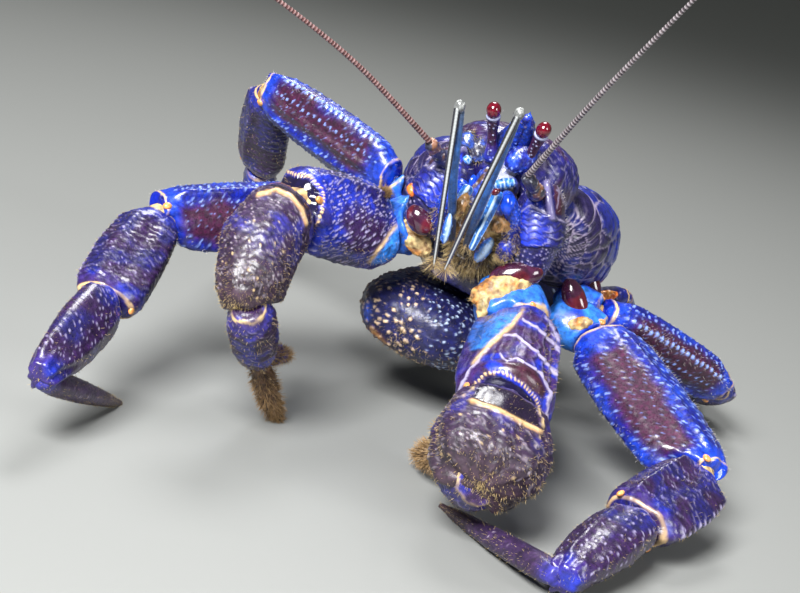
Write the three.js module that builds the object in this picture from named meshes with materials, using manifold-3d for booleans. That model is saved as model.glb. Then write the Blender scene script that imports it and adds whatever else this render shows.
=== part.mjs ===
// A coconut crab, life-size, in millimetres, standing with +Z up and facing -Y.
// +X is the crab's left. The animal is worked out level, in its own frame, and then
// leans over to its left, so the floor is a sloping plane in that frame.

import * as THREE from 'three';
import { mergeVertices } from 'three/addons/utils/BufferGeometryUtils.js';
import Module from 'manifold-3d';

const wasm = await Module();
wasm.setup();

// Driving dimensions
const LEAN = THREE.MathUtils.degToRad(7);
const FLOOR_POINT = new THREE.Vector3(28.5, -61, 1.5);
const GAP = 0.3;
const LIMB_SIDES = 9;
const SMALL_SIDES = 8;
const BODY_SIDES = 15;

const EYE_RADIUS = 3.1;
const EYE_HALF_LENGTH = 2.5;
const EYE_CENTRE = { across: 8.9, back: -2, height: 112.8 };
const FLOOR_SLAB = 1000;
const HINT_WEIGHT = 0.35;
const FLAGELLUM_ROOT_RADIUS = 1.0;
const FLAGELLUM_TIP_RADIUS = 0.5;

const COLOURS = {
  shell: { color: 0x2b3a9c, roughness: 0.45, metalness: 0.0 },
  joint: { color: 0x4f9be0, roughness: 0.4, metalness: 0.0 },
  claw: { color: 0x5a3f57, roughness: 0.6, metalness: 0.0 },
  finger: { color: 0x6b4a34, roughness: 0.7, metalness: 0.0 },
  feeler: { color: 0x75707a, roughness: 0.5, metalness: 0.0 },
  eye: { color: 0x6d0a16, roughness: 0.1, metalness: 0.0 },
  stalk: { color: 0x3c1c3c, roughness: 0.4, metalness: 0.0 },
  abdomen: { color: 0x232a5e, roughness: 0.55, metalness: 0.0 },
};

const at = (x, y, z) => new THREE.Vector3(x, y, z);
const mirrored = (point, side) => new THREE.Vector3(side * point.x, point.y, point.z);

// Solids and booleans

function solidOf(geometry) {
  const plain = geometry.clone();
  plain.deleteAttribute('normal');
  plain.deleteAttribute('uv');
  const merged = mergeVertices(plain, 1e-4);
  const mesh = new wasm.Mesh({
    numProp: 3,
    vertProperties: new Float32Array(merged.attributes.position.array),
    triVerts: new Uint32Array(merged.index.array),
  });
  return new wasm.Manifold(mesh);
}

function geometryOf(solid) {
  const mesh = solid.getMesh();
  const geometry = new THREE.BufferGeometry();
  geometry.setAttribute('position', new THREE.BufferAttribute(mesh.vertProperties, 3));
  geometry.setIndex(new THREE.BufferAttribute(mesh.triVerts, 1));
  return geometry;
}

function largestBody(solid) {
  const bodies = solid.decompose();
  return bodies.reduce((best, body) => (body.volume() > best.volume() ? body : best));
}

// A sphere's rows are moved out to be sections along a path. A station is
// [place along the path 0 to 1, half width, reach up, reach down], and the
// squareness of 2 is an ellipse, and more is boxier.
function loft({ path, up, stations, sides = LIMB_SIDES, squareness = 2.4, bulge = 0.3, grow = 0 }) {
  const rows = stations.length + 1;
  const geometry = new THREE.SphereGeometry(1, sides, rows);
  const positions = geometry.attributes.position;
  const frames = stations.map(([t]) => sectionFrame(path, up, t));
  for (let i = 0; i < positions.count; i += 1) {
    const row = Math.floor(i / (sides + 1));
    const turn = ((i % (sides + 1)) / sides) * 2 * Math.PI;
    let point;
    if (row === 0 || row === rows) {
      const end = row === 0 ? 0 : stations.length - 1;
      const [, half, above, below] = stations[end];
      const reach = bulge * Math.min(half, above, below) + grow;
      const middle = (above - below) / 2;
      point = frames[end].origin.clone()
        .addScaledVector(frames[end].along, row === 0 ? -reach : reach)
        .addScaledVector(frames[end].up, middle);
    } else {
      const [, half, above, below] = stations[row - 1];
      const frame = frames[row - 1];
      const c = Math.cos(turn);
      const s = Math.sin(turn);
      const power = 2 / squareness;
      const across = Math.sign(c) * Math.abs(c) ** power * (half + grow);
      const rise = Math.sign(s) * Math.abs(s) ** power * ((s > 0 ? above : below) + grow);
      point = frame.origin.clone()
        .addScaledVector(frame.side, across)
        .addScaledVector(frame.up, rise);
    }
    positions.setXYZ(i, point.x, point.y, point.z);
  }
  if (grow > 0) {
    stretchEnds(positions, frames, sides, rows, grow);
  }
  return geometry;
}

function stretchEnds(positions, frames, sides, rows, grow) {
  for (let i = 0; i < positions.count; i += 1) {
    const row = Math.floor(i / (sides + 1));
    const first = row === 1;
    const last = row === rows - 1;
    if (first || last) {
      const frame = first ? frames[0] : frames[frames.length - 1];
      const shift = first ? -grow : grow;
      positions.setXYZ(
        i,
        positions.getX(i) + frame.along.x * shift,
        positions.getY(i) + frame.along.y * shift,
        positions.getZ(i) + frame.along.z * shift,
      );
    }
  }
}

function sectionFrame(path, up, t) {
  const origin = path.getPointAt(t);
  const along = path.getTangentAt(t);
  const side = new THREE.Vector3().crossVectors(along, up).normalize();
  const squared = new THREE.Vector3().crossVectors(side, along).normalize();
  return { origin, along, side, up: squared };
}

// Every sub-part is described once, then made both at its size and a gap larger.
const parts = new Map();

function addPart(name, colour, shape) {
  const make = (grow) => shape.map((piece) => solidOf(loft({ ...piece, grow })))
    .reduce((whole, piece) => whole.add(piece));
  parts.set(name, { colour, solid: make(0), grown: make(GAP) });
}

function cutBy(name, ...others) {
  const part = parts.get(name);
  for (const other of others) {
    part.solid = largestBody(part.solid.subtract(parts.get(other).grown));
  }
}

const straight = (a, b) => new THREE.LineCurve3(a, b);
const bent = (a, middle, b) => new THREE.QuadraticBezierCurve3(a, middle, b);
const curve = (...points) => new THREE.CatmullRomCurve3(points);

// Limbs: each segment's upper edge is on the outside of the limb's bends.
function limb(prefix, names, joints, hint, shapes) {
  const directions = joints.slice(1).map((joint, i) => joint.clone().sub(joints[i]).normalize());
  names.forEach((name, i) => {
    const before = directions[i - 1] ?? directions[i];
    const after = directions[i + 1] ?? directions[i];
    const up = before.clone().sub(after).addScaledVector(hint, HINT_WEIGHT).normalize();
    const from = joints[i];
    const to = joints[i + 1];
    const shape = shapes[name];
    const bow = up.clone().multiplyScalar(shape.bow ?? 0).add(shape.sway ?? at(0, 0, 0));
    const middle = from.clone().add(to).multiplyScalar(0.5).add(bow);
    addPart(`${prefix}_${name}`, shape.colour ?? 'shell', [{
      path: shape.bow || shape.sway ? bent(from, middle, to) : straight(from, to),
      up,
      stations: shape.stations,
      squareness: shape.squareness ?? 2.4,
      bulge: shape.bulge ?? 0.3,
    }]);
  });
  for (let i = 0; i < names.length - 1; i += 1) {
    cutBy(`${prefix}_${names[i]}`, `${prefix}_${names[i + 1]}`);
  }
}

const WALKING_NAMES = ['coxa', 'merus', 'carpus', 'propodus', 'dactyl'];

const scaled = (size, rows) => rows.map(([t, ...reach]) => [t, ...reach.map((value) => value * size)]);

const walkingShapes = (size) => ({
  coxa: {
    colour: 'joint',
    stations: scaled(size, [[0, 7, 8, 8], [0.5, 8, 10, 10], [1, 7, 9, 9]]),
  },
  merus: {
    stations: scaled(size, [
      [0.02, 7, 10.5, 9.5], [0.14, 9, 14, 12.5], [0.4, 9.8, 14.6, 13.4],
      [0.7, 9.6, 14, 12.6], [0.93, 8.8, 12.2, 11.2], [1, 7, 9.4, 8.6],
    ]),
  },
  carpus: {
    stations: scaled(size, [
      [0.02, 6, 8.6, 8], [0.15, 8.4, 12, 10.4],
      [0.5, 9.4, 13.8, 12], [0.9, 8.8, 13, 12.4], [1, 6.8, 10, 10],
    ]),
  },
  propodus: {
    stations: scaled(size, [
      [0.03, 6, 8.4, 9], [0.15, 8, 10.8, 11.2], [0.5, 8, 10.8, 10.6],
      [0.93, 5.6, 7.6, 7.6], [1, 4.2, 5.8, 5.8],
    ]),
  },
  dactyl: {
    bow: 4,
    colour: 'claw',
    bulge: 0.6,
    stations: scaled(size, [
      [0.03, 3.4, 4, 4], [0.15, 4.2, 5, 5], [0.5, 3.6, 4.3, 4.3],
      [0.85, 2.2, 2.6, 2.6], [1, 0.8, 1, 1],
    ]),
  },
});

function walkingLegs() {
  const hint = at(0, 0, 1);
  limb('leg2_left', WALKING_NAMES, [
    at(32, 27, 49), at(49, 25, 47), at(98, -19, 29),
    at(84, -55, 20), at(71, -101, 14), at(28.5, -61, 1.5),
  ], hint, walkingShapes(1));
  limb('leg2_right', WALKING_NAMES, [
    at(-28, 26, 56), at(-42, 23, 56), at(-98, -30, 42),
    at(-94, -66, 21), at(-89, -113, 10), at(-82, -60, -12),
  ], hint, walkingShapes(0.88));
  limb('leg3_left', WALKING_NAMES, [
    at(30, 46, 50), at(45, 45, 50), at(95, 76, 33),
    at(84, 112, 20), at(74, 162, 15), at(88, 214, 8),
  ], hint, walkingShapes(0.88));
  limb('leg3_right', WALKING_NAMES, [
    at(-28, 46, 58), at(-42, 45, 66), at(-104, 66, 75),
    at(-107, 91, 41), at(-112, 132, 5), at(-121, 181, -17),
  ], hint, walkingShapes(0.86));
}

const BACK_NAMES = ['merus', 'carpus', 'hand'];

const backShapes = {
  merus: { stations: [[0.02, 3, 4, 4], [0.2, 4.5, 5.5, 5.5], [0.8, 4.5, 5.5, 5.5], [1, 3, 4, 4]] },
  carpus: { stations: [[0.02, 3, 3.5, 3.5], [0.5, 4, 5, 5], [1, 3, 3.5, 3.5]] },
  hand: {
    colour: 'claw',
    stations: [[0.02, 3, 3.5, 3.5], [0.3, 4, 5, 5], [0.75, 3, 4, 4], [1, 1, 1.4, 1.4]],
  },
};

function backLegs() {
  for (const [word, side] of [['left', 1], ['right', -1]]) {
    const joints = [at(34, 80, 42), at(50, 98, 46), at(51, 110, 37), at(43, 122, 22)];
    const placed = joints.map((joint) => mirrored(joint, side));
    limb(`leg4_${word}`, BACK_NAMES, placed, at(side, 0, 0), backShapes);
  }
}

const CLAW_NAMES = ['ischium', 'merus', 'carpus', 'palm'];

function claws() {
  limb('claw_right', CLAW_NAMES, [
    at(-20, 14, 64), at(-32, 7, 60), at(-54, -32, 65), at(-49, -67, 39), at(-46, -47, 17),
  ], at(0, 0, 1), {
    ischium: { colour: 'joint', stations: [[0, 9, 11, 12], [0.5, 10, 13, 14], [1, 8, 13, 14]] },
    merus: {
      stations: [
        [0.05, 8, 13.5, 15], [0.2, 10, 16, 17.5], [0.6, 11, 16, 16.5],
        [0.92, 10.5, 15.5, 14.5], [1, 8.5, 12.5, 11.5],
      ],
    },
    carpus: {
      colour: 'claw',
      stations: [
        [0.02, 9, 9, 8], [0.15, 12, 14, 10], [0.5, 13, 16, 10], [0.88, 11, 12, 10], [1, 7, 8, 7],
      ],
      sway: at(-9, 0, 0),
    },
    palm: { stations: [[0.02, 6, 7, 6], [0.2, 8, 9, 8], [0.7, 7.5, 8.5, 8], [1, 5, 6, 6]] },
  });
  limb('claw_left', CLAW_NAMES, [
    at(14, 6, 56), at(24, -8, 50), at(35, -60, 38), at(39, -88, 25), at(29, -56, 21),
  ], at(0, 0, 1), {
    ischium: { colour: 'joint', stations: [[0, 9, 10, 10], [0.5, 11, 13, 13], [1, 9, 13, 13]] },
    merus: {
      stations: [
        [0.05, 9, 13, 13], [0.2, 12, 14.5, 14.5], [0.6, 15, 15.5, 15.5],
        [0.92, 16, 15, 15], [1, 13, 12.5, 12.5],
      ],
    },
    carpus: {
      colour: 'claw',
      stations: [
        [0.0, 12, 10, 9], [0.15, 17, 14, 12], [0.5, 19, 15, 13], [0.85, 17, 13, 12], [1, 11, 8, 8],
      ],
    },
    palm: { stations: [[0.02, 8, 8, 8], [0.2, 11, 12, 10], [0.7, 11, 13, 11], [1, 7, 9, 8]] },
  });
  fingers('claw_right', at(-46, -47, 17), {
    movable: [at(-42, -41, 6), at(-36.5, -32, -7)],
    fixed: [at(-44, -38, 17), at(-41, -29, 15)],
    size: 0.8,
  });
  fingers('claw_left', at(29, -56, 21), {
    movable: [at(20, -46, 11), at(12.5, -36, 4.5)],
    fixed: [at(24, -42, 20), at(15, -32, 14)],
    size: 1.1,
  });
  cutBy('claw_left_palm', 'claw_left_merus');
  cutBy('claw_right_palm', 'claw_right_merus');
}

function fingers(prefix, knuckle, { movable, fixed, size }) {
  const stations = scaled(size, [
    [0.05, 3.5, 4, 4], [0.25, 4.5, 5, 5], [0.6, 4, 4.5, 4.5], [0.9, 2.2, 2.6, 2.6], [1, 1, 1.2, 1.2],
  ]);
  const finger = ([middle, tip]) => ({
    path: curve(knuckle, middle, tip), up: at(0, 0, 1), stations, sides: SMALL_SIDES, bulge: 0.6,
  });
  addPart(`${prefix}_finger`, 'finger', [finger(movable)]);
  addPart(`${prefix}_thumb`, 'finger', [finger(fixed)]);
  const palm = parts.get(`${prefix}_palm`);
  const thumb = parts.get(`${prefix}_thumb`);
  palm.solid = palm.solid.add(thumb.solid);
  palm.grown = palm.grown.add(thumb.grown);
  parts.delete(`${prefix}_thumb`);
  cutBy(`${prefix}_finger`, `${prefix}_palm`);
}

function body() {
  const sides = BODY_SIDES;
  const up = at(0, 0, 1);
  addPart('shield', 'shell', [{
    path: straight(at(0, 8, 96), at(0, 31, 91)),
    up,
    sides,
    stations: [
      [0, 15, 8, 7], [0.15, 18.5, 11, 11], [0.45, 21.5, 13, 15], [0.8, 24, 14, 18], [1, 23, 13, 18],
    ],
    bulge: 0.05,
  }, {
    path: straight(at(0, 11, 101), at(3, -6, 116)),
    up,
    sides: SMALL_SIDES,
    stations: [[0, 7, 3, 3], [0.35, 5, 2.8, 2.8], [0.7, 3, 2.2, 2.2], [1, 0.8, 0.8, 0.8]],
  }]);
  addPart('heart_region', 'shell', [{
    path: straight(at(0, 31.5, 82), at(0, 94, 61)),
    up,
    sides,
    stations: [[0, 9, 18, 18], [0.3, 10, 17, 18], [0.8, 10, 13, 18], [1, 8, 7, 16]],
    bulge: 0.1,
  }]);
  for (const [word, side] of [['left', 1], ['right', -1]]) {
    addPart(`gill_cover_${word}`, 'shell', [{
      path: curve(at(side * 16, 30, 75), at(side * 24, 61, 66), at(side * 16, 92, 58)),
      up,
      sides,
      stations: [
        [0, 10, 14, 12], [0.1, 14, 18, 15], [0.3, 18, 21, 17], [0.55, 20, 21, 17],
        [0.8, 18, 18, 16], [0.95, 13, 12, 12], [1, 9, 8, 9],
      ],
      bulge: 0.15,
    }]);
    addPart(`cheek_${word}`, 'shell', [{
      path: bent(at(side * 17, 6, 62), at(side * 22, 5, 76), at(side * 14, 4, 93)),
      up: at(0, -1, 0),
      sides,
      stations: [[0, 5, 5, 6], [0.15, 8, 9, 11], [0.5, 9, 11, 14], [0.85, 8, 8, 12], [1, 6, 5, 8]],
    }]);
  }
  addPart('mouth', 'joint', [{
    path: straight(at(0, 8, 58), at(0, 4, 92)),
    up: at(0, -1, 0),
    stations: [[0, 7, 8, 8], [0.2, 9, 11, 12], [0.7, 9, 9, 12], [1, 7, 5, 8]],
  }]);
  addPart('thorax', 'joint', [{
    path: straight(at(0, 10, 53), at(0, 92, 52)),
    up,
    stations: [[0, 14, 3, 5], [0.1, 20, 4, 7], [0.5, 27, 4.5, 8], [0.9, 23, 4.5, 8], [1, 15, 3, 5]],
  }]);
  addPart('abdomen_root', 'abdomen', [{
    path: bent(at(0, 97, 60), at(0, 113, 62), at(0, 122, 46)),
    up: at(0, 1, 0.6),
    sides,
    stations: [[0, 20, 12, 14], [0.15, 25, 15, 17], [0.5, 29, 19, 21], [0.85, 30, 20, 22], [1, 27, 17, 20]],
  }]);
  addPart('abdomen_bulb', 'abdomen', [{
    path: bent(at(0, 122, 50), at(0, 122, 22), at(0, 84, 22)),
    up: at(0, 1, -0.6),
    sides,
    stations: [[0.02, 28, 18, 20], [0.3, 31, 22, 20], [0.7, 31, 22, 17], [1, 27, 16, 14]],
  }]);
  addPart('abdomen_tail', 'abdomen', [{
    path: straight(at(0, 82, 24), at(-12, 3, 31)),
    up,
    sides,
    stations: [[0.02, 27, 14, 15], [0.4, 28, 14, 16], [0.8, 26, 13, 15], [0.95, 21, 11, 12], [1, 14, 7, 8]],
  }]);
}

function face() {
  for (const [word, side] of [['left', 1], ['right', -1]]) {
    const stalk = straight(at(side * 5.5, 8, 97), at(side * 8.6, -1, 110.5));
    addPart(`eye_stalk_${word}`, 'stalk', [{
      path: stalk,
      up: at(0, -1, 0),
      sides: SMALL_SIDES,
      stations: [[0, 3, 3, 3], [0.2, 3.4, 3.2, 3.2], [0.75, 2.1, 2.1, 2.1], [1, 2.3, 2.3, 2.3]],
    }]);
    addPart(`eye_${word}`, 'eye', [eyeball(side)]);
    cutBy(`eye_stalk_${word}`, `eye_${word}`);
  }
  antenna('left', {
    root: [at(13, 4, 91), at(15, -8, 94), at(11.4, -20, 100)],
    lash: [at(25, -40, 134), at(42, -60, 171), at(52, -70, 192)],
  });
  antenna('right', {
    root: [at(-15, 4, 90), at(-20, -8, 93), at(-21.8, -20, 98.5)],
    lash: [at(-47, -40, 117), at(-73, -60, 130), at(-104, -78, 140)],
  });
  antennule('left', {
    rising: [at(-1, -8, 68), at(1.5, -24, 92), at(3.6, -30.5, 119)],
    falling: [at(3.6, -32, 119.5), at(0.6, -31, 90), at(-1.8, -28, 63)],
  });
  antennule('right', {
    rising: [at(-6, -8, 68), at(-10.5, -24, 92), at(-14.6, -28.5, 114)],
    falling: [at(-15.6, -30, 114.5), at(-10, -31, 88), at(-5.6, -28, 63)],
  });
  mouthpart('left', {
    rising: [at(12, 0, 70), at(10, -6, 84), at(5, -9, 90)],
    falling: [at(3.4, -10, 90), at(3, -13, 80), at(2, -14, 69)],
  });
  mouthpart('right', {
    rising: [at(-14, 0, 66), at(-13, -6, 80), at(-8, -9, 88)],
    falling: [at(-6.5, -10, 88), at(-8, -13, 78), at(-8, -14, 68)],
  });
}

// An eye is a little narrower than it is high, and looks forward and up.
function eyeball(side) {
  const centre = at(side * EYE_CENTRE.across, EYE_CENTRE.back, EYE_CENTRE.height);
  const axis = at(side * 0.18, -0.55, 0.8).normalize().multiplyScalar(EYE_HALF_LENGTH);
  const places = [0, 0.25, 0.5, 0.75, 1];
  return {
    path: straight(centre.clone().sub(axis), centre.clone().add(axis)),
    up: at(0, -1, 0),
    sides: 12,
    squareness: 2,
    stations: places.map((t) => {
      const radius = EYE_RADIUS * Math.sqrt(1 - (1.6 * (t - 0.5)) ** 2);
      return [t, radius * 0.9, radius, radius];
    }),
    bulge: 0.3,
  };
}

function antenna(word, { root, lash }) {
  const up = at(0, 0, 1);
  addPart(`antenna_root_${word}`, 'joint', [{
    path: curve(...root), up, sides: SMALL_SIDES,
    stations: [[0, 3.5, 3.5, 3.5], [0.4, 3.2, 3.2, 3.2], [0.85, 2.2, 2.2, 2.2], [1, 1.4, 1.4, 1.4]],
  }]);
  const places = [0, 0.25, 0.5, 0.75, 1];
  addPart(`antenna_${word}`, 'feeler', [{
    path: curve(root[2], ...lash), up, sides: SMALL_SIDES, squareness: 2,
    stations: places.map((t) => {
      const radius = THREE.MathUtils.lerp(FLAGELLUM_ROOT_RADIUS, FLAGELLUM_TIP_RADIUS, t);
      return [t, radius, radius, radius];
    }),
  }]);
  cutBy(`antenna_root_${word}`, `antenna_${word}`);
}

function antennule(word, { rising, falling }) {
  addPart(`antennule_${word}`, 'feeler', [{
    path: curve(...rising), up: at(0, -1, 0), sides: SMALL_SIDES,
    stations: [[0, 1.2, 1.2, 1.2], [0.2, 1.6, 1.4, 1.4], [0.8, 1.3, 1.2, 1.2], [1, 1.2, 1.2, 1.2]],
  }, {
    path: curve(...falling), up: at(0, -1, 0), sides: SMALL_SIDES,
    stations: [[0, 1.3, 1.3, 1.3], [0.15, 1.0, 1.0, 1.0], [0.9, 0.9, 0.9, 0.9], [1, 0.6, 0.6, 0.6]],
  }]);
}

function mouthpart(word, { rising, falling }) {
  addPart(`maxilliped_${word}`, 'joint', [{
    path: curve(...rising), up: at(0, -1, 0), sides: SMALL_SIDES,
    stations: [[0, 3.2, 3, 3], [0.4, 3.8, 3.4, 3.4], [0.8, 3.2, 3, 3], [1, 2.2, 2.2, 2.2]],
  }, {
    path: curve(...falling), up: at(0, -1, 0), sides: SMALL_SIDES,
    stations: [[0, 2, 2, 2], [0.3, 2.4, 2.2, 2.2], [0.8, 1.8, 1.8, 1.8], [1, 1, 1, 1]],
  }]);
}

// Where two parts meet, the one named first is cut back a gap clear of the others.
function seatParts() {
  cutBy('heart_region', 'shield');
  for (const side of ['left', 'right']) {
    cutBy(`cheek_${side}`, 'shield');
    cutBy(`gill_cover_${side}`, 'heart_region', 'shield', `cheek_${side}`);
    cutBy(`eye_stalk_${side}`, 'shield');
    cutBy(`antenna_root_${side}`, 'shield', `cheek_${side}`);
  }
  cutBy('mouth', 'shield', 'cheek_left', 'cheek_right');
  cutBy('thorax', 'mouth', 'heart_region');
  for (const side of ['left', 'right']) {
    cutBy('thorax', `cheek_${side}`, `gill_cover_${side}`);
  }
  for (const side of ['left', 'right']) {
    cutBy(`maxilliped_${side}`, 'mouth', `cheek_${side}`, `antennule_${side}`);
    cutBy(`claw_${side}_ischium`, 'thorax', `cheek_${side}`, `gill_cover_${side}`);
    cutBy(`leg2_${side}_coxa`, 'thorax', `gill_cover_${side}`, `claw_${side}_ischium`);
    cutBy(`leg3_${side}_coxa`, 'thorax', `gill_cover_${side}`);
    cutBy(`leg4_${side}_merus`, 'thorax', `gill_cover_${side}`);
  }
  cutBy('abdomen_root', 'heart_region', 'thorax', 'gill_cover_left', 'gill_cover_right');
  cutBy('abdomen_bulb', 'abdomen_root');
  cutBy('abdomen_tail', 'abdomen_bulb');
}

// The feet are cut level with the floor, which slopes in the crab's own frame.
function standOnFloor() {
  const slab = new THREE.BoxGeometry(FLOOR_SLAB, FLOOR_SLAB, FLOOR_SLAB);
  slab.translate(0, 0, -FLOOR_SLAB / 2);
  slab.rotateY(-LEAN);
  slab.translate(FLOOR_POINT.x, FLOOR_POINT.y, FLOOR_POINT.z);
  const ground = solidOf(slab);
  for (const part of parts.values()) {
    part.solid = largestBody(part.solid.subtract(ground));
  }
}

walkingLegs();
backLegs();
claws();
body();
face();
seatParts();
standOnFloor();

const crab = new THREE.Group();
for (const [name, { colour, solid }] of parts) {
  const material = new THREE.MeshStandardMaterial(COLOURS[colour]);
  const mesh = new THREE.Mesh(geometryOf(solid), material);
  mesh.name = name;
  crab.add(mesh);
}
crab.rotation.y = LEAN;

// The origin is at the middle of the box that holds the crab, at the floor.
const box = new THREE.Box3().setFromObject(crab, true);
const model = new THREE.Group();
model.add(crab);
crab.position.set(-(box.min.x + box.max.x) / 2, -(box.min.y + box.max.y) / 2, -box.min.z);

export default model;
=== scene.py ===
# %% [markdown]
# # A coconut crab as a museum model
# This notebook builds the fine surface of a life-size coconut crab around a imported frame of
# plain solids. The frame says where every plate of the shell is and how large it is. Each cell
# adds one kind of piece or finish, and says what it is on the real animal first.

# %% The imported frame
import math
import bmesh
import bpy
import numpy as np
from mathutils import Matrix, Vector
from mathutils.bvhtree import BVHTree


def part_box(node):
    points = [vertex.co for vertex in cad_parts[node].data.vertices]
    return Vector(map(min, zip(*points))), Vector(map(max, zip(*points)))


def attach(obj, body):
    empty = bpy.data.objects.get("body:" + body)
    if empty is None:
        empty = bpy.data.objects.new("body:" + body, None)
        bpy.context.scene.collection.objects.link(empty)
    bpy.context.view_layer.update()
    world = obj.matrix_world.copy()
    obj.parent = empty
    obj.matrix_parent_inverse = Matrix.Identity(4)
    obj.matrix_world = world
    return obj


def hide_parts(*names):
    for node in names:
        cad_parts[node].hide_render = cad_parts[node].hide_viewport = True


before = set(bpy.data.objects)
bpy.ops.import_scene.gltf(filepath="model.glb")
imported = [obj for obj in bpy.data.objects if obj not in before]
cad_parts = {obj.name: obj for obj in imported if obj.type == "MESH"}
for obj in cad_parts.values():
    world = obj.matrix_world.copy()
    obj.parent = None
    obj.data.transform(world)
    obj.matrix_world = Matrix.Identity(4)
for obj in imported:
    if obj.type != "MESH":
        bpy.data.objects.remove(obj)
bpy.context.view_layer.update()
print(f"The frame has {len(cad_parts)} plates")

# %% [markdown]
# ## The crab's own frame
# A crab is the same on both sides, so its parts are easiest to describe in a frame that stands
# level on the animal: millimetres, x to its left, y to its back, z up. The model leans a little
# to its left on its legs. Two short functions turn the level frame into the model's and back.
# The eyes tie the two frames together, because their places are known in both.

# %% Level frame and model frame
MM = 0.001
LEAN = math.radians(7)
EYE_MIDDLE = np.array([0.0, -2.0, 112.8])
TURN = np.array([
    [math.cos(LEAN), 0.0, math.sin(LEAN)],
    [0.0, 1.0, 0.0],
    [-math.sin(LEAN), 0.0, math.cos(LEAN)],
])


def centre_of(node):
    low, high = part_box(node)
    return np.array((low + high) / 2)


EYES = (centre_of("eye_left") + centre_of("eye_right")) / 2


def to_model(points):
    return (np.asarray(points, float) - EYE_MIDDLE) @ TURN.T * MM + EYES


def to_level(points):
    return (np.asarray(points, float) - EYES) @ TURN / MM + EYE_MIDDLE


print(f"Eyes at {np.round(EYES, 4)} m")

# %% [markdown]
# ## The camera
# The picture was taken from in front and a little above, with the camera rolled to one side.
# The camera is placed from the eyes, so it stays right wherever the frame's origin is. The same
# numbers give a function that tells where a point of the crab falls in the picture, in pixels.
# It is used later to put a band or a spot of colour where the animal has it.

# %% Camera
PICTURE = np.array([800.0, 593.0])
LENS, SENSOR = 70.2, 36.0
FOCAL = LENS / SENSOR * PICTURE[0]
EYES_TO_CAMERA = np.array([72.1, -505.9, 85.2])
CAMERA_AT = EYE_MIDDLE + EYES_TO_CAMERA
NEAR_CLIP = 0.01
VIEW_SIDE, VIEW_DOWN, VIEW_ROLL = (math.radians(angle) for angle in (10.0, 17.0, 20.0))


def camera_axes():
    back = np.array([
        math.sin(VIEW_SIDE) * math.cos(VIEW_DOWN),
        -math.cos(VIEW_SIDE) * math.cos(VIEW_DOWN),
        math.sin(VIEW_DOWN),
    ])
    level = np.array([math.cos(VIEW_SIDE), math.sin(VIEW_SIDE), 0.0])
    raised = np.cross(back, level)
    right = math.cos(VIEW_ROLL) * level + math.sin(VIEW_ROLL) * raised
    up = math.cos(VIEW_ROLL) * raised - math.sin(VIEW_ROLL) * level
    return right, up, back


RIGHT, UP, BACK = camera_axes()


def pixels(points):
    """The picture's pixels that points of the level frame fall on."""
    away = points - CAMERA_AT
    depth = -(away @ BACK)
    across = PICTURE[0] / 2 + FOCAL * (away @ RIGHT) / depth
    down = PICTURE[1] / 2 - FOCAL * (away @ UP) / depth
    return np.stack([across, down], axis=-1)


def sight(x, y):
    """The direction from the camera through a pixel of the picture."""
    way = FOCAL * -BACK + (x - PICTURE[0] / 2) * RIGHT - (y - PICTURE[1] / 2) * UP
    return way / np.linalg.norm(way)


camera = bpy.data.objects.new("camera", bpy.data.cameras.new("camera"))
camera.data.lens = LENS
camera.data.sensor_width = SENSOR
camera.data.sensor_fit = "HORIZONTAL"
camera.data.clip_start = NEAR_CLIP
pose = Matrix.Identity(4)
for column, axis in enumerate((RIGHT, UP, BACK)):
    pose.col[column] = Vector((*(TURN @ axis), 0.0))
pose.col[3] = Vector((*to_model(CAMERA_AT), 1.0))
camera.matrix_world = pose
bpy.context.scene.collection.objects.link(camera)
bpy.context.scene.camera = camera
print(f"Camera at {np.round(to_model(CAMERA_AT), 3)} m")

# %% [markdown]
# ## Patterns
# A shell's ornament is made of a few repeated things: granules, dashes, wrinkles and plates with
# pale outlines. All of them come from scattered cell centres and smooth noise, worked out for
# every point of a plate at once. The same numbers later raise the surface and colour it, so a
# pale granule is always also a bump. Texture nodes could draw the same marks, but they would
# only colour the surface, and the marks on a crab's shell have a height.

# %% Noise
WORD = 0xFFFFFFFF
ROW_FACTOR, COLUMN_FACTOR, SEED_FACTOR, LAST_FACTOR = 374761393, 668265263, 974634777, 1274126177


def scatter(i, j, seed):
    """A number from 0 to 1 for each pair of whole numbers, always the same for the same seed."""
    mixed = (i * ROW_FACTOR + j * COLUMN_FACTOR + seed * SEED_FACTOR) & WORD
    mixed = ((mixed ^ (mixed >> 13)) * LAST_FACTOR) & WORD
    return ((mixed ^ (mixed >> 16)) & 0xFFFFFF) / 0xFFFFFF


def rise(value, low, high):
    """A smooth step from 0 at low to 1 at high."""
    step = np.clip((value - low) / (high - low), 0.0, 1.0)
    return step * step * (3 - 2 * step)


def hump(value, width):
    """A round bump: 1 in the middle, 0 from width on."""
    return np.clip(1 - (value / width) ** 2, 0.0, 1.0)


def clouds(points, size, seed=0):
    """Smooth noise from 0 to 1 in space, with features of a size in mm."""
    place = points / size
    corner = np.floor(place).astype(np.int64)
    part = place - corner
    part = part * part * (3 - 2 * part)
    total = 0.0
    for x in (0, 1):
        for y in (0, 1):
            for z in (0, 1):
                value = scatter(corner[:, 0] + x + 57 * (corner[:, 1] + y), corner[:, 2] + z, seed)
                share = np.abs(1 - x - part[:, 0]) * np.abs(1 - y - part[:, 1]) * np.abs(1 - z - part[:, 2])
                total = total + value * share
    return total


print("Noise at the eyes:", np.round(clouds(EYE_MIDDLE[None], 5.0), 2))

# %% Scattered cells
FAR = 99.0


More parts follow.
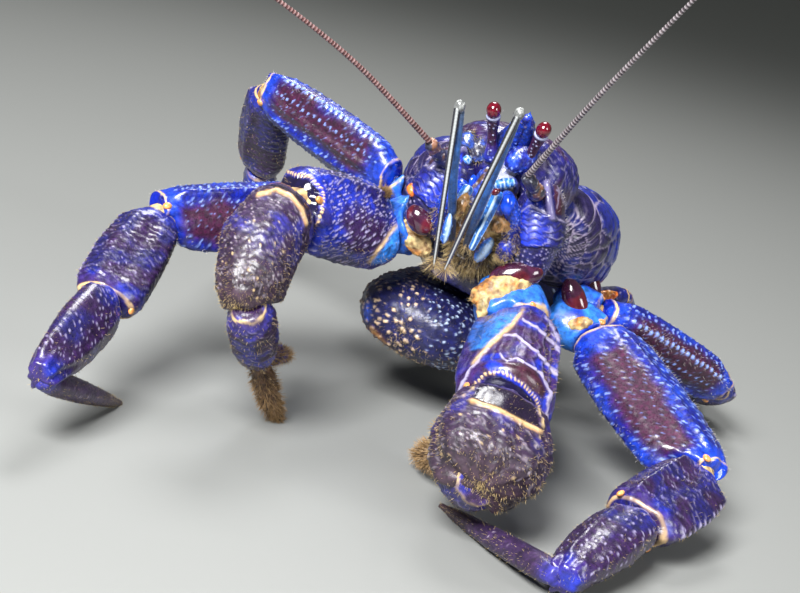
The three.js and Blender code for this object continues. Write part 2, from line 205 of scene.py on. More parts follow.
def cells(x, y, size, shape=None, seed=0, jitter=0.75):
    """Distances to the nearest two cell centres, 1 at the edge of shape, and a draw per cell."""
    shape = shape or size
    x, y = x / size[0], y / size[1]
    left, low = np.floor(x).astype(np.int64), np.floor(y).astype(np.int64)
    near = np.full(x.shape, FAR)
    following = np.full(x.shape, FAR)
    draw = np.zeros(x.shape)
    for di in (-1, 0, 1):
        for dj in (-1, 0, 1):
            i, j = left + di, low + dj
            across = i + 0.5 + jitter * (scatter(i, j, seed) - 0.5)
            along = j + 0.5 + jitter * (scatter(i, j, seed + 7) - 0.5)
            gap = np.hypot((x - across) * size[0] / shape[0], (y - along) * size[1] / shape[1])
            closer = gap < near
            following = np.where(closer, near, np.minimum(following, gap))
            draw = np.where(closer, scatter(i, j, seed + 13), draw)
            near = np.minimum(near, gap)
    return near, following, draw


def lumps(points, size, seed=0, jitter=0.85):
    """Distances to the nearest two of the centres scattered in space, in cells, and a draw."""
    place = points / size
    corner = np.floor(place).astype(np.int64)
    near = np.full(len(points), FAR)
    following = np.full(len(points), FAR)
    draw = np.zeros(len(points))
    for di in (-1, 0, 1):
        for dj in (-1, 0, 1):
            for dk in (-1, 0, 1):
                i, j, k = corner[:, 0] + di, corner[:, 1] + dj, corner[:, 2] + dk
                row, column = i + 131 * j, k + 57 * i
                gap = np.sqrt(
                    (place[:, 0] - i - 0.5 - jitter * (scatter(row, column, seed) - 0.5)) ** 2
                    + (place[:, 1] - j - 0.5 - jitter * (scatter(row, column, seed + 7) - 0.5)) ** 2
                    + (place[:, 2] - k - 0.5 - jitter * (scatter(row, column, seed + 11) - 0.5)) ** 2
                )
                closer = gap < near
                following = np.where(closer, near, np.minimum(following, gap))
                draw = np.where(closer, scatter(row, column, seed + 13), draw)
                near = np.minimum(near, gap)
    return near, following, draw


print("Nearest granule to the eyes:", np.round(lumps(EYE_MIDDLE[None], 2.4)[0], 2), "cells away")

# %% Lines and outlines


def apart(angle, other):
    """The signed difference of two angles, from minus half a turn to half a turn."""
    return (angle - other + math.pi) % (2 * math.pi) - math.pi


def line_distance(spots, line):
    """Distance of flat spots from a line through several points."""
    line = np.asarray(line, float)
    best = np.full(len(spots), 1e9)
    for start, end in zip(line[:-1], line[1:]):
        run = end - start
        share = np.clip(((spots - start) @ run) / (run @ run), 0, 1)
        gap = np.linalg.norm(spots - start - share[:, None] * run, axis=1)
        best = np.minimum(best, gap)
    return best


def inside(spots, outline):
    """Whether each spot is inside a closed outline."""
    outline = np.asarray(outline, float)
    found = np.zeros(len(spots), bool)
    for start, end in zip(outline, np.roll(outline, -1, axis=0)):
        crosses = (start[1] > spots[:, 1]) != (end[1] > spots[:, 1])
        slope = (end[0] - start[0]) / (end[1] - start[1] + 1e-9)
        found ^= crosses & (spots[:, 0] < start[0] + (spots[:, 1] - start[1]) * slope)
    return found


def patch(spots, outline, soft=3.0):
    """1 inside an outline and 0 outside it, with a soft edge."""
    edge = line_distance(spots, list(outline) + [outline[0]])
    return rise(np.where(inside(spots, outline), edge, -edge), -soft / 2, soft / 2)


def stroke(spots, line, width):
    """1 on a line, fading out over a width on both sides of it."""
    return np.exp(-(line_distance(spots, line) / width) ** 2)


diagonal = ((0.0, 0.0), PICTURE)
print("The diagonal at the picture's middle:", stroke(PICTURE[None] / 2, diagonal, 1.0).round(3))

# %% [markdown]
# ## A plate that follows a solid
# Every plate of the shell starts as a sphere of quads. Its rows become sections along the
# plate, and its columns run round it. The size of each section is felt with rays on the frame's
# faceted solid and then smoothed, so the plate has the solid's place and size, but flowing
# curves. A sphere is used because it is closed and its ends round off as real plates do.
# Subdividing the solid itself would be simpler, but its facets would show as broad waves.

# %% Feeling a solid's sections
FEELER_RAYS = 48
FEELER_ROWS = 26
FEELER_START = 80.0
HARMONICS = 8
pieces_made = []


class Plate:
    """A closed plate in the level frame, with its points' place along and around it."""


def solid_in_level(nodes):
    """Points, faces and edges of the frame's solids, in the level frame."""
    points, faces, edges = [], [], []
    for node in nodes:
        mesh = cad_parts[node].data
        first = sum(len(part) for part in points)
        spots = np.empty(len(mesh.vertices) * 3)
        mesh.vertices.foreach_get("co", spots)
        points.append(to_level(spots.reshape(-1, 3)))
        faces += [[first + i for i in polygon.vertices] for polygon in mesh.polygons]
        edges += [[first + i for i in edge.vertices] for edge in mesh.edges]
    return np.concatenate(points), faces, np.array(edges)


def smooth_rows(table, amount):
    """The rows of a table blurred along it, amount rows wide."""
    reach = int(3 * amount) + 1
    weights = np.exp(-0.5 * (np.arange(-reach, reach + 1) / amount) ** 2)
    weights /= weights.sum()
    padded = np.pad(table, ((reach, reach), (0, 0)), mode="edge")
    return sum(w * padded[i:i + len(table)] for i, w in enumerate(weights))


def feel(nodes, start, end, up, trim=0.03, blur=1.2):
    """Section centres and radii of the frame's solids along the line from start to end."""
    points, faces, edges = solid_in_level(nodes)
    tree = BVHTree.FromPolygons([Vector(p) for p in points], faces)
    along = (end - start) / np.linalg.norm(end - start)
    side = np.cross(along, up)
    side /= np.linalg.norm(side)
    up = np.cross(side, along)
    heights = (points - start) @ along
    low, high = heights.min(), heights.max()
    rows = np.linspace(low + trim * (high - low), high - trim * (high - low), FEELER_ROWS)
    centres = []
    for row in rows:
        first, second = heights[edges[:, 0]] - row, heights[edges[:, 1]] - row
        cut = first * second < 0
        share = (first / (first - second + 1e-12))[cut, None]
        spots = points[edges[cut, 0]] * (1 - share) + points[edges[cut, 1]] * share
        flat = np.stack([(spots - start) @ side, (spots - start) @ up], axis=1)
        centres.append((flat.min(axis=0) + flat.max(axis=0)) / 2)
    centres = smooth_rows(np.array(centres), blur)
    turns = np.arange(FEELER_RAYS) / FEELER_RAYS * 2 * math.pi
    radii = np.full((FEELER_ROWS, FEELER_RAYS), np.nan)
    for i, row in enumerate(rows):
        middle = start + along * row + side * centres[i, 0] + up * centres[i, 1]
        for j, turn in enumerate(turns):
            way = side * math.cos(turn) + up * math.sin(turn)
            hit = tree.ray_cast(Vector(middle + way * FEELER_START), Vector(-way), FEELER_START)
            if hit[0] is not None:
                radii[i, j] = FEELER_START - hit[3]
    for j in range(FEELER_RAYS):
        known = ~np.isnan(radii[:, j])
        fill = radii[known, j] if known.any() else np.array([np.nanmean(radii)])
        place = rows[known] if known.any() else rows[:1]
        radii[:, j] = np.interp(rows, place, fill)
    waves = np.fft.rfft(radii, axis=1)[:, :HARMONICS + 1] / FEELER_RAYS
    waves[:, 1:] *= 2
    table = np.concatenate([waves.real, waves.imag, centres], axis=1)
    return rows, smooth_rows(table, blur), (low, high), (along, side, up)


print(f"{len(solid_in_level(['shield'])[0])} points on the shield's solid")

# %% A sphere laid out as a plate
CAP_FULLNESS = 0.7


def ball(name, rows, columns):
    """A sphere's mesh, and the share from pole to pole and the turn of each point."""
    bm = bmesh.new()
    bmesh.ops.create_uvsphere(bm, u_segments=columns, v_segments=rows, radius=1.0)
    mesh = bpy.data.meshes.new(name)
    bm.to_mesh(mesh)
    bm.free()
    spots = np.empty(len(mesh.vertices) * 3)
    mesh.vertices.foreach_get("co", spots)
    x, y, z = spots.reshape(-1, 3).T
    return mesh, np.arccos(np.clip(z, -1, 1)) / math.pi, np.arctan2(y, x)


def lay_out(fraction, low, high, radii, caps):
    """Place along the plate and share of the full radius, for each point of the sphere."""
    run = radii[0] + (high - low) + radii[1]
    first, last = radii[0] / run, radii[1] / run
    depth = caps[0] * radii[0], caps[1] * radii[1]
    place = np.interp(fraction, [first, 1 - last], [low + depth[0], high - depth[1]])
    share = np.ones_like(fraction)
    for near_start in (True, False):
        part = first if near_start else last
        gone = fraction if near_start else 1 - fraction
        turn = np.clip(gone / part, 0, 1) ** (1 / CAP_FULLNESS) * math.pi / 2
        capped = gone < part
        share = np.where(capped, np.sin(turn) ** CAP_FULLNESS, share)
        if near_start:
            place = np.where(capped, low + depth[0] * (1 - np.cos(turn)), place)
        else:
            place = np.where(capped, high - depth[1] * (1 - np.cos(turn)), place)
    return place, share


def set_points(plate):
    """Put the plate's points into its mesh, none of them below the floor."""
    spots = to_model(plate.points)
    spots[:, 2] = np.maximum(spots[:, 2], 0.0)
    plate.mesh.vertices.foreach_set("co", spots.ravel())
    plate.mesh.update()
    ways = np.empty(len(plate.points) * 3)
    plate.mesh.vertex_normals.foreach_get("vector", ways)
    plate.normals = ways.reshape(-1, 3) @ TURN


def finish_shape(plate):
    """Values that the ornament of a plate reads at each of its points."""
    set_points(plate)
    plate.part = plate.s / plate.length
    plate.face = apart(plate.turn, plate.front)
    plate.arc = plate.face * plate.round
    plate.pixel = pixels(plate.points)
    plate.seen = rise(plate.normals @ BACK, 0.0, 0.35)
    plate.height = np.zeros(len(plate.points))
    plate.masks = {}


test_share = lay_out(np.array([0.05]), 0.0, 10.0, (2.0, 2.0), (1.0, 1.0))[1]
print("Share of the radius part way up a cap:", np.round(test_share, 2))

# %% Plates from solids


def wrap(name, nodes, start, end, up, spacing=0.55, caps=(0.4, 0.4), trim=0.03, blur=0.9):
    """A plate over one or more of the frame's solids."""
    start, end, up = (np.asarray(v, float) for v in (start, end, up))
    rows, table, (low, high), (along, side, up) = feel(nodes, start, end, up, trim, blur)
    girth = 2 * math.pi * table[:, 0].mean()
    ends = table[0, 0], table[-1, 0]
    count = max(14, round((ends[0] + high - low + ends[1]) / spacing))
    columns = max(16, round(girth / spacing))
    plate = Plate()
    plate.mesh, fraction, plate.turn = ball(name, count, columns)
    plate.s, share = lay_out(fraction, low, high, ends, caps)
    values = [np.interp(plate.s, rows, column) for column in table.T]
    radius = values[0].copy()
    for wave in range(1, HARMONICS + 1):
        radius += values[wave] * np.cos(wave * plate.turn)
        radius -= values[HARMONICS + 1 + wave] * np.sin(wave * plate.turn)
    radius = radius * share
    plate.points = (
        start + plate.s[:, None] * along
        + (values[-2] + radius * np.cos(plate.turn))[:, None] * side
        + (values[-1] + radius * np.sin(plate.turn))[:, None] * up
    )
    plate.name, plate.length = name, high - low
    plate.s = plate.s - low
    plate.left = plate.length - plate.s
    plate.round = girth / (2 * math.pi)
    plate.along = along
    look = CAMERA_AT - (start + end) / 2
    plate.front = math.atan2(look @ up, look @ side)
    finish_shape(plate)
    return plate


def mask(plate, name, amount):
    """Lay a mask over the one of the same name that the plate may have."""
    known = plate.masks.get(name, np.zeros(len(plate.points)))
    plate.masks[name] = np.maximum(known, np.clip(amount, 0, 1))


def unmask(plate, amount, *names):
    """Take away masks where amount is 1."""
    for name in names:
        if name in plate.masks:
            plate.masks[name] = plate.masks[name] * (1 - np.clip(amount, 0, 1))


def finish(plate, material, slot, replaces=()):
    """Raise the plate's surface, store its masks and make it a piece that rides on the crab."""
    plate.points = plate.points + plate.normals * plate.height[:, None]
    set_points(plate)
    for key, values in plate.masks.items():
        layer = plate.mesh.attributes.new(key, "FLOAT", "POINT")
        layer.data.foreach_set("value", values.astype(np.float32))
    plate.mesh.polygons.foreach_set("use_smooth", np.ones(len(plate.mesh.polygons), bool))
    plate.mesh.materials.append(material)
    piece = bpy.data.objects.new(plate.name, plate.mesh)
    bpy.context.scene.collection.objects.link(piece)
    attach(piece, "root")
    if replaces:
        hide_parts(*replaces)
    plate.piece = piece
    pieces_made.append(plate)
    return plate

# %% Plates along a curve


def smooth_ends_fixed(line, amount):
    """A line of points blurred along it, with its two ends where they were."""
    offset = line - np.linspace(0, 1, len(line))[:, None] * (line[-1] - line[0]) - line[0]
    mirrored = np.concatenate([-offset[:0:-1], offset, -offset[-2::-1]])
    soft = smooth_rows(mirrored, amount)[len(line) - 1:2 * len(line) - 1]
    soft -= np.linspace(0, 1, len(line))[:, None] * (soft[-1] - soft[0]) + soft[0]
    return soft + np.linspace(0, 1, len(line))[:, None] * (line[-1] - line[0]) + line[0]


def tube(name, path, radius, up, spacing=0.5, caps=(0.8, 0.8), columns=None, samples=60):
    """A closed plate along a curve through the path's points, radius(share along, turn) in mm."""
    path = np.asarray(path, float)
    knots = np.concatenate([[0], np.cumsum(np.linalg.norm(np.diff(path, axis=0), axis=1))])
    fine = np.linspace(0, knots[-1], samples)
    line = np.stack([np.interp(fine, knots, column) for column in path.T], axis=1)
    if len(path) > 2:
        line = smooth_ends_fixed(line, samples / 10)
    steps = np.concatenate([[0], np.cumsum(np.linalg.norm(np.diff(line, axis=0), axis=1))])
    length = steps[-1]
    first, middle, last = (
        float(np.mean(radius(np.full(1, place), np.zeros(1)))) for place in (0.0, 0.5, 1.0)
    )
    ends = first, last
    count = max(10, round((ends[0] + length + ends[1]) / spacing))
    columns = columns or max(10, round(2 * math.pi * max(middle, *ends) / spacing))
    plate = Plate()
    plate.mesh, fraction, plate.turn = ball(name, count, columns)
    plate.s, share = lay_out(fraction, 0.0, length, ends, caps)
    along = np.gradient(line, axis=0)
    along /= np.linalg.norm(along, axis=1)[:, None]
    at = np.stack([np.interp(plate.s, steps, column) for column in line.T], axis=1)
    way = np.stack([np.interp(plate.s, steps, column) for column in along.T], axis=1)
    side = np.cross(way, np.asarray(up, float))
    side /= np.linalg.norm(side, axis=1)[:, None]
    over = np.cross(side, way)
    size = radius(plate.s / length, plate.turn) * share
    plate.points = (
        at + (size * np.cos(plate.turn))[:, None] * side
        + (size * np.sin(plate.turn))[:, None] * over
    )
    plate.name, plate.length, plate.along = name, length, way
    plate.left = length - plate.s
    plate.round = middle
    look = CAMERA_AT - line[samples // 2]
    middle_side, middle_up = np.cross(along[samples // 2], up), up
    plate.front = math.atan2(look @ np.asarray(middle_up, float), look @ middle_side)
    finish_shape(plate)
    return plate


test_bend = smooth_ends_fixed(np.array([[0.0, 0, 0], [1, 1, 0], [2, 0, 0]]), 1.0)
print("A smoothed bend keeps its ends:", np.round(test_bend[[0, -1]], 3).tolist())

# %% [markdown]
# ## Shell finish
# A coconut crab's shell is blue to violet with a satin gloss, mottled at the scale of a
# millimetre and paler on granules and rims. Its grooves, seams and folds get painted shade, a
# darker colour laid in where shade falls. One function makes all the shell materials. Masks
# stored on the plates choose between their colours, and a shared node group adds the fine
# mottling and grain, so all plates look like one animal. A texture node of its own for each
# marking was the other way, but then the colours would miss the raised marks.

# %% Node helpers


def add_node(tree, kind, inputs=None, **settings):
    """A new node, with each input linked to a socket or set to a value."""
    made = tree.nodes.new(kind)
    for key, value in settings.items():
        setattr(made, key, value)
    for key, value in (inputs or {}).items():
        if isinstance(value, bpy.types.NodeSocket):
            tree.links.new(value, made.inputs[key])
        else:
            made.inputs[key].default_value = value
    return made


def mix_colour(tree, factor, first, second, blend="MIX"):
    made = add_node(tree, "ShaderNodeMix", data_type="RGBA", blend_type=blend)
    for socket, value in ((made.inputs[0], factor), (made.inputs[6], first), (made.inputs[7], second)):
        if isinstance(value, bpy.types.NodeSocket):
            tree.links.new(value, socket)
        elif isinstance(value, tuple):
            socket.default_value = (*value, 1.0)
        else:
            socket.default_value = value
    return made.outputs[2]


def stored(tree, name):
    """A mask that is stored on the plates, 0 on a plate that has none of that name."""
    return add_node(tree, "ShaderNodeAttribute", attribute_name=name).outputs["Fac"]


def math_node(tree, operation, first, second=0.0):
    return add_node(tree, "ShaderNodeMath", {0: first, 1: second}, operation=operation).outputs[0]


def new_material(name):
    material = bpy.data.materials.new(name)
    material.use_nodes = True
    tree = material.node_tree
    return material, tree, tree.nodes["Principled BSDF"]

# %% Grain group


def make_grain():
    """The node group that all shell shares: mottled shade, fine relief and roughness."""
    group = bpy.data.node_groups.new("shell_grain", "ShaderNodeTree")
    for name, default in (("Mottle", 400.0), ("Grain", 2200.0)):
        socket = group.interface.new_socket(name, in_out="INPUT", socket_type="NodeSocketFloat")
        socket.default_value = default
    for name in ("Shade", "Height", "Roughness"):
        group.interface.new_socket(name, in_out="OUTPUT", socket_type="NodeSocketFloat")
    given = add_node(group, "NodeGroupInput")
    place = add_node(group, "ShaderNodeTexCoord").outputs["Object"]
    mottle = add_node(group, "ShaderNodeTexNoise", {
        "Vector": place, "Scale": given.outputs["Mottle"], "Detail": 3.0, "Roughness": 0.6,
    })
    grain = add_node(group, "ShaderNodeTexNoise", {
        "Vector": place, "Scale": given.outputs["Grain"], "Detail": 2.0, "Roughness": 0.5,
    })
    shade = add_node(group, "ShaderNodeMapRange", {
        "Value": mottle.outputs["Fac"], "From Min": 0.3, "From Max": 0.7, "To Min": 0.4, "To Max": 1.45,
    })
    rough = add_node(group, "ShaderNodeMapRange", {
        "Value": grain.outputs["Fac"], "From Min": 0.3, "From Max": 0.7, "To Min": 0.22, "To Max": 0.48,
    })
    height = math_node(group, "ADD", grain.outputs["Fac"], mottle.outputs["Fac"])
    out = add_node(group, "NodeGroupOutput")
    group.links.new(shade.outputs[0], out.inputs["Shade"])
    group.links.new(height, out.inputs["Height"])
    group.links.new(rough.outputs[0], out.inputs["Roughness"])
    return group


GRAIN = make_grain()
print(f"The grain group has {len(GRAIN.nodes)} nodes")

# %% Shell material
SKY = (0.03, 0.22, 0.75)
CREAM = (0.68, 0.46, 0.22)
# Near-black painted shade for grooves and gaps, and the wrist domes' own dark colour
SHADE_AND_DARK = (0.008, 0.006, 0.014)
ORANGE = (0.62, 0.25, 0.06)
PLUM = (0.03, 0.01, 0.03)
SKIN_RED = (0.30, 0.10, 0.06)
MID_GREY = (0.1, 0.1, 0.1)
PALE_BLUE = (0.22, 0.32, 0.74)
COAT_ROUGHNESS = 0.15
RELIEF_DEPTH = 0.0003
GLOSS_STEP = 0.25


def shell_material(name, deep, mark, bright=MID_GREY, panel=PLUM, cream=CREAM, dark=SHADE_AND_DARK, orange=ORANGE,
                   coat=0.35, mottle=420.0, bump=0.25, add_roughness=0.0):
    """A shell finish: a deep colour, and the colours that the masks lay over it in this order."""
    material, tree, shader = new_material(name)
    grain = add_node(tree, "ShaderNodeGroup", node_tree=GRAIN)
    grain.inputs["Mottle"].default_value = mottle
    colour = mix_colour(tree, stored(tree, "bright"), deep, bright)
    colour = mix_colour(tree, stored(tree, "panel"), colour, panel)
    colour = mix_colour(tree, stored(tree, "sky"), colour, SKY)
    shade = add_node(tree, "ShaderNodeCombineColor", {
        "Red": grain.outputs["Shade"], "Green": grain.outputs["Shade"], "Blue": grain.outputs["Shade"],
    }).outputs[0]
    colour = mix_colour(tree, 1.0, colour, shade, "MULTIPLY")
    # The dark mask lays painted shade into grooves, folds, seams and the gaps round granules, dashes, steps
    # and scales. It also carries the own dark colour of the wrist domes, the gill covers' plates and the
    # feelers' stripes and rings.
    for key, over in (("dark", dark), ("mark", mark), ("cream", cream), ("orange", orange)):
        colour = mix_colour(tree, stored(tree, key), colour, over)
    tree.links.new(colour, shader.inputs["Base Color"])
    rough = math_node(tree, "ADD", grain.outputs["Roughness"], add_roughness)
    rough = math_node(tree, "SUBTRACT", rough, math_node(tree, "MULTIPLY", stored(tree, "gloss"), GLOSS_STEP))
    tree.links.new(rough, shader.inputs["Roughness"])
    shader.inputs["Coat Weight"].default_value = coat
    shader.inputs["Coat Roughness"].default_value = COAT_ROUGHNESS
    rough_part = math_node(tree, "SUBTRACT", 1.0, stored(tree, "gloss"))
    height = math_node(tree, "MULTIPLY", grain.outputs["Height"], rough_part)
    relief = add_node(tree, "ShaderNodeBump", {
        "Strength": bump, "Distance": RELIEF_DEPTH, "Height": height,
    })
    tree.links.new(relief.outputs[0], shader.inputs["Normal"])
    return material

# %% Shell finishes
BLUE_SHELL = shell_material(
    "blue_shell", deep=(0.005, 0.014, 0.28), mark=PALE_BLUE, bright=(0.010, 0.070, 0.68),
    panel=(0.060, 0.010, 0.040),
)
VIOLET_SHELL = shell_material(
    "violet_shell", deep=(0.015, 0.013, 0.13), mark=(0.36, 0.32, 0.50),
    bright=(0.008, 0.030, 0.48), panel=(0.046, 0.011, 0.026),
)
DOME_SHELL = shell_material(
    "dome_shell", deep=(0.016, 0.010, 0.060), mark=(0.34, 0.28, 0.40), bright=(0.006, 0.030, 0.40),
)
SKY_SHELL = shell_material(
    "sky_shell", deep=(0.03, 0.20, 0.70), mark=(0.60, 0.78, 0.90), bright=(0.012, 0.05, 0.50),
    panel=(0.04, 0.02, 0.06),
)
BROWN_SHELL = shell_material(
    "brown_shell", deep=(0.044, 0.020, 0.072), mark=(0.42, 0.36, 0.42), bright=(0.03, 0.035, 0.36),
    panel=(0.050, 0.028, 0.035), cream=(0.55, 0.40, 0.20), coat=0.15, add_roughness=0.08,
)
FINGER_SHELL = shell_material(
    "finger_shell", deep=(0.13, 0.065, 0.03), mark=(0.50, 0.36, 0.20), bright=(0.06, 0.05, 0.35),
    panel=(0.04, 0.02, 0.015), cream=(0.60, 0.42, 0.22), coat=0.05, add_roughness=0.2,
)
BELLY_SHELL = shell_material(
    "belly_shell", deep=(0.010, 0.012, 0.095), mark=(0.50, 0.62, 0.82), bright=(0.02, 0.10, 0.75),
    panel=(0.02, 0.01, 0.03), cream=(0.72, 0.52, 0.32), coat=0.1, add_roughness=0.1,
)
# The mouth's near-black panel colour is the painted shade of its hollow and of the low part under it.
MOUTH_SHELL = shell_material(
    "mouth_shell", deep=(0.16, 0.085, 0.035), mark=(0.48, 0.50, 0.58), bright=(0.025, 0.07, 0.46),
    panel=(0.022, 0.014, 0.016), cream=(0.50, 0.33, 0.12), coat=0.25,
)
# The dark colour of each skin below is the painted shade in the low parts of its folds.
MEMBRANE = shell_material(
    "joint_skin", deep=(0.52, 0.38, 0.17), mark=(0.85, 0.75, 0.60), bright=(0.55, 0.22, 0.05),
    panel=SKIN_RED, dark=(0.16, 0.07, 0.03), coat=0.05, add_roughness=0.2,
)
ORANGE_SKIN = shell_material(
    "orange_skin", deep=(0.85, 0.20, 0.03), mark=(0.85, 0.60, 0.40), bright=(0.90, 0.36, 0.08),
    panel=SKIN_RED, dark=(0.30, 0.06, 0.01), coat=0.3,
)
PALE_SKIN = shell_material(
    "pale_skin", deep=(0.22, 0.24, 0.38), mark=(0.80, 0.80, 0.85), bright=(0.40, 0.42, 0.52),
    panel=SKIN_RED, dark=(0.12, 0.10, 0.20), coat=0.4,
)
BROWN_SKIN = shell_material(
    "brown_skin", deep=(0.30, 0.15, 0.05), mark=(0.80, 0.62, 0.36), bright=(0.62, 0.40, 0.16),
    panel=(0.20, 0.08, 0.04), dark=(0.06, 0.03, 0.01), coat=0.1,
)
# The red domes' pale mark colour is their painted highlight.
RED_DOME = shell_material(
    "red_dome", deep=(0.045, 0.010, 0.030), mark=(0.45, 0.36, 0.55), bright=(0.10, 0.01, 0.02),
    panel=(0.03, 0.01, 0.04), coat=0.9, mottle=260.0, bump=0.06, add_roughness=-0.05,
)
GREY_SHELL = shell_material(
    "grey_shell", deep=(0.045, 0.045, 0.085), mark=(0.50, 0.52, 0.56), bright=(0.03, 0.08, 0.40),
    coat=0.3,
)
STALK_SHELL = shell_material(
    "stalk_shell", deep=(0.055, 0.010, 0.035), mark=(0.50, 0.55, 0.80), bright=(0.02, 0.05, 0.50),
    coat=0.5,
)
KNUCKLE_SHELL = shell_material(
    "knuckle", deep=(0.62, 0.30, 0.10), mark=(0.85, 0.75, 0.60), bright=(0.75, 0.30, 0.08),
    panel=SKIN_RED, dark=(0.25, 0.10, 0.04), coat=0.5,
)
LASH_BROWN = shell_material(
    "lash_brown", deep=(0.10, 0.035, 0.030), mark=(0.36, 0.24, 0.24), coat=0.1,
)
LASH_GREY = shell_material(
    "lash_grey", deep=(0.085, 0.065, 0.070), mark=(0.42, 0.38, 0.40), coat=0.1,
)
STICK_BLUE = shell_material(
    "stick_blue", deep=(0.020, 0.030, 0.060), mark=(0.22, 0.34, 0.46), bright=(0.02, 0.10, 0.34),
    panel=(0.06, 0.08, 0.10), coat=0.6,
)
STICK_GREY = shell_material(
    "stick_grey", deep=(0.055, 0.060, 0.065), mark=(0.46, 0.48, 0.48), coat=0.6,
)
CLEAR_KNOB = shell_material(
    "clear_knob", deep=(0.26, 0.27, 0.26), mark=(0.60, 0.62, 0.60), coat=0.8,
)
EYE_RED = shell_material(
    "eye_red", deep=(0.105, 0.002, 0.010), mark=(0.5, 0.1, 0.1), bright=(0.3, 0.0, 0.02),
    panel=(0.03, 0.0, 0.01), coat=1.0, mottle=900.0, bump=0.02, add_roughness=-0.12,
)
print("Shell finishes:", [m.name for m in bpy.data.materials])

# %% [markdown]
# ## Floor and light
# The model stands on a plain pale floor in soft studio light. A large lamp above the camera lights
# the front. Two more soft lamps, one at the side and one behind and above, show the shapes.

# %% Floor
FLOOR_SIZE = 12.0
FLOOR_GREY = (0.215, 0.220, 0.212, 1.0)
FLOOR_ROUGHNESS = 0.6
floor_mesh = bpy.data.meshes.new("floor")
bm = bmesh.new()
bmesh.ops.create_grid(bm, x_segments=2, y_segments=2, size=FLOOR_SIZE / 2)
bm.to_mesh(floor_mesh)
bm.free()
floor = bpy.data.objects.new("floor", floor_mesh)
bpy.context.scene.collection.objects.link(floor)
floor_material, _, floor_shader = new_material("pale_floor")
floor_shader.inputs["Base Color"].default_value = FLOOR_GREY
floor_shader.inputs["Roughness"].default_value = FLOOR_ROUGHNESS
floor_mesh.materials.append(floor_material)
print(f"The floor is {FLOOR_SIZE} m wide")

# %% Lamps
LAMP_TARGET = (0.0, 0.0, 0.06)
# name: place in metres, width in metres, power in watts
LAMPS = {
    "key": ((-0.15, -0.75, 0.75), 0.42, 29.0),
    "fill": ((0.9, -0.4, 0.5), 0.35, 4.5),
    "top": ((-0.2, 0.6, 1.0), 0.4, 9.0),
}
ROOM_COLOUR = (0.80, 0.84, 0.80, 1.0)
ROOM_STRENGTH = 0.14

for name, (at, width, power) in LAMPS.items():
    light = bpy.data.lights.new(name, "AREA")
    light.size = width
    light.energy = power
    holder = bpy.data.objects.new(name, light)
    holder.location = at
    aim = Vector(LAMP_TARGET) - Vector(at)
    holder.rotation_euler = aim.to_track_quat("-Z", "Y").to_euler()
    bpy.context.scene.collection.objects.link(holder)

world = bpy.data.worlds.new("room")
world.use_nodes = True
background = world.node_tree.nodes["Background"]
background.inputs["Color"].default_value = ROOM_COLOUR
background.inputs["Strength"].default_value = ROOM_STRENGTH
bpy.context.scene.world = world
bpy.context.scene.view_settings.view_transform = "Standard"
print(f"{len(LAMPS)} lamps of {sum(power for _, _, power in LAMPS.values())} watts together")

# %% [markdown]
# ## Limbs
# Each leg is a chain of plates from one joint to the next. The same joints that the frame was
# built from are listed here, in the level frame, and each plate's upper edge lies on the outside
# of the limb's bends, as on the animal.

# %% Joints of the limbs
WALKING = ("coxa", "merus", "carpus", "propodus", "dactyl")
BACK_LEG = ("merus", "carpus", "hand")
CLAW = ("ischium", "merus", "carpus", "palm")
LIMBS = {
    "leg2_left": (WALKING, (
        (32, 27, 49), (49, 25, 47), (98, -19, 29), (84, -55, 20), (71, -101, 14), (28.5, -61, 1.5))),
    "leg2_right": (WALKING, (
        (-28, 26, 56), (-42, 23, 56), (-98, -30, 42), (-94, -66, 21), (-89, -113, 10), (-82, -60, -12))),
    "leg3_left": (WALKING, (
        (30, 46, 50), (45, 45, 50), (95, 76, 33), (84, 112, 20), (74, 162, 15), (88, 214, 8))),
    "leg3_right": (WALKING, (
        (-28, 46, 58), (-42, 45, 66), (-104, 66, 75), (-107, 91, 41), (-112, 132, 5), (-121, 181, -17))),
    "leg4_left": (BACK_LEG, ((34, 80, 42), (50, 98, 46), (51, 110, 37), (43, 122, 22))),
    "leg4_right": (BACK_LEG, ((-34, 80, 42), (-50, 98, 46), (-51, 110, 37), (-43, 122, 22))),
    "claw_right": (CLAW, ((-20, 14, 64), (-32, 7, 60), (-54, -32, 65), (-49, -67, 39), (-46, -47, 17))),
    "claw_left": (CLAW, ((14, 6, 56), (24, -8, 50), (35, -60, 38), (39, -88, 25), (29, -56, 21))),
}
HINT_SHARE = 0.35


def unit(v):
    """The vector of length 1 in the same direction."""
    return v / np.linalg.norm(v)


def limb_frames(limb):
    """Name, start, end and upper side of each plate of a limb."""
    names, joints = LIMBS[limb]
    joints = np.array(joints, float)
    ways = [unit(b - a) for a, b in zip(joints[:-1], joints[1:])]
    hint = np.array([0.0, 0.0, 1.0])
    if limb.startswith("leg4"):
        hint = np.array([1.0 if limb.endswith("left") else -1.0, 0.0, 0.0])
    for i, name in enumerate(names):
        before = ways[max(i - 1, 0)]
        after = ways[min(i + 1, len(ways) - 1)]
        up = unit(before - after + HINT_SHARE * hint)
        yield name, joints[i], joints[i + 1], up


print(f"{len(LIMBS)} limbs with {sum(len(names) for names, _ in LIMBS.values())} plates")

# %% [markdown]
# ## Ornament of the limbs
# The limbs carry pale dashes set obliquely, round granules, wavy terraces, overlapping scales and
# rows of knobs along the edges. The long plates have a flat front between two edges, and the ends
# of a plate have pale rims. Each function adds its ornament to a plate's height and masks, so a
# plate's look is a short list of calls. Sculpting each plate by hand would give more variety, but
# the same few marks repeat all over the animal.

# %% Where an ornament goes


def mottled(plate, size, seed, low, high):
    """Soft-edged random patches of a size in mm."""
    return rise(clouds(plate.points, size, seed), low, high)


def inland(plate, start, end):
    """0 at both ends of a plate and 1 between, with each step's two distances in mm."""
    return rise(plate.s, *start) * rise(plate.left, *end)

# %% Dashes, granules, terraces and scales
PALE_CREST = 0.8


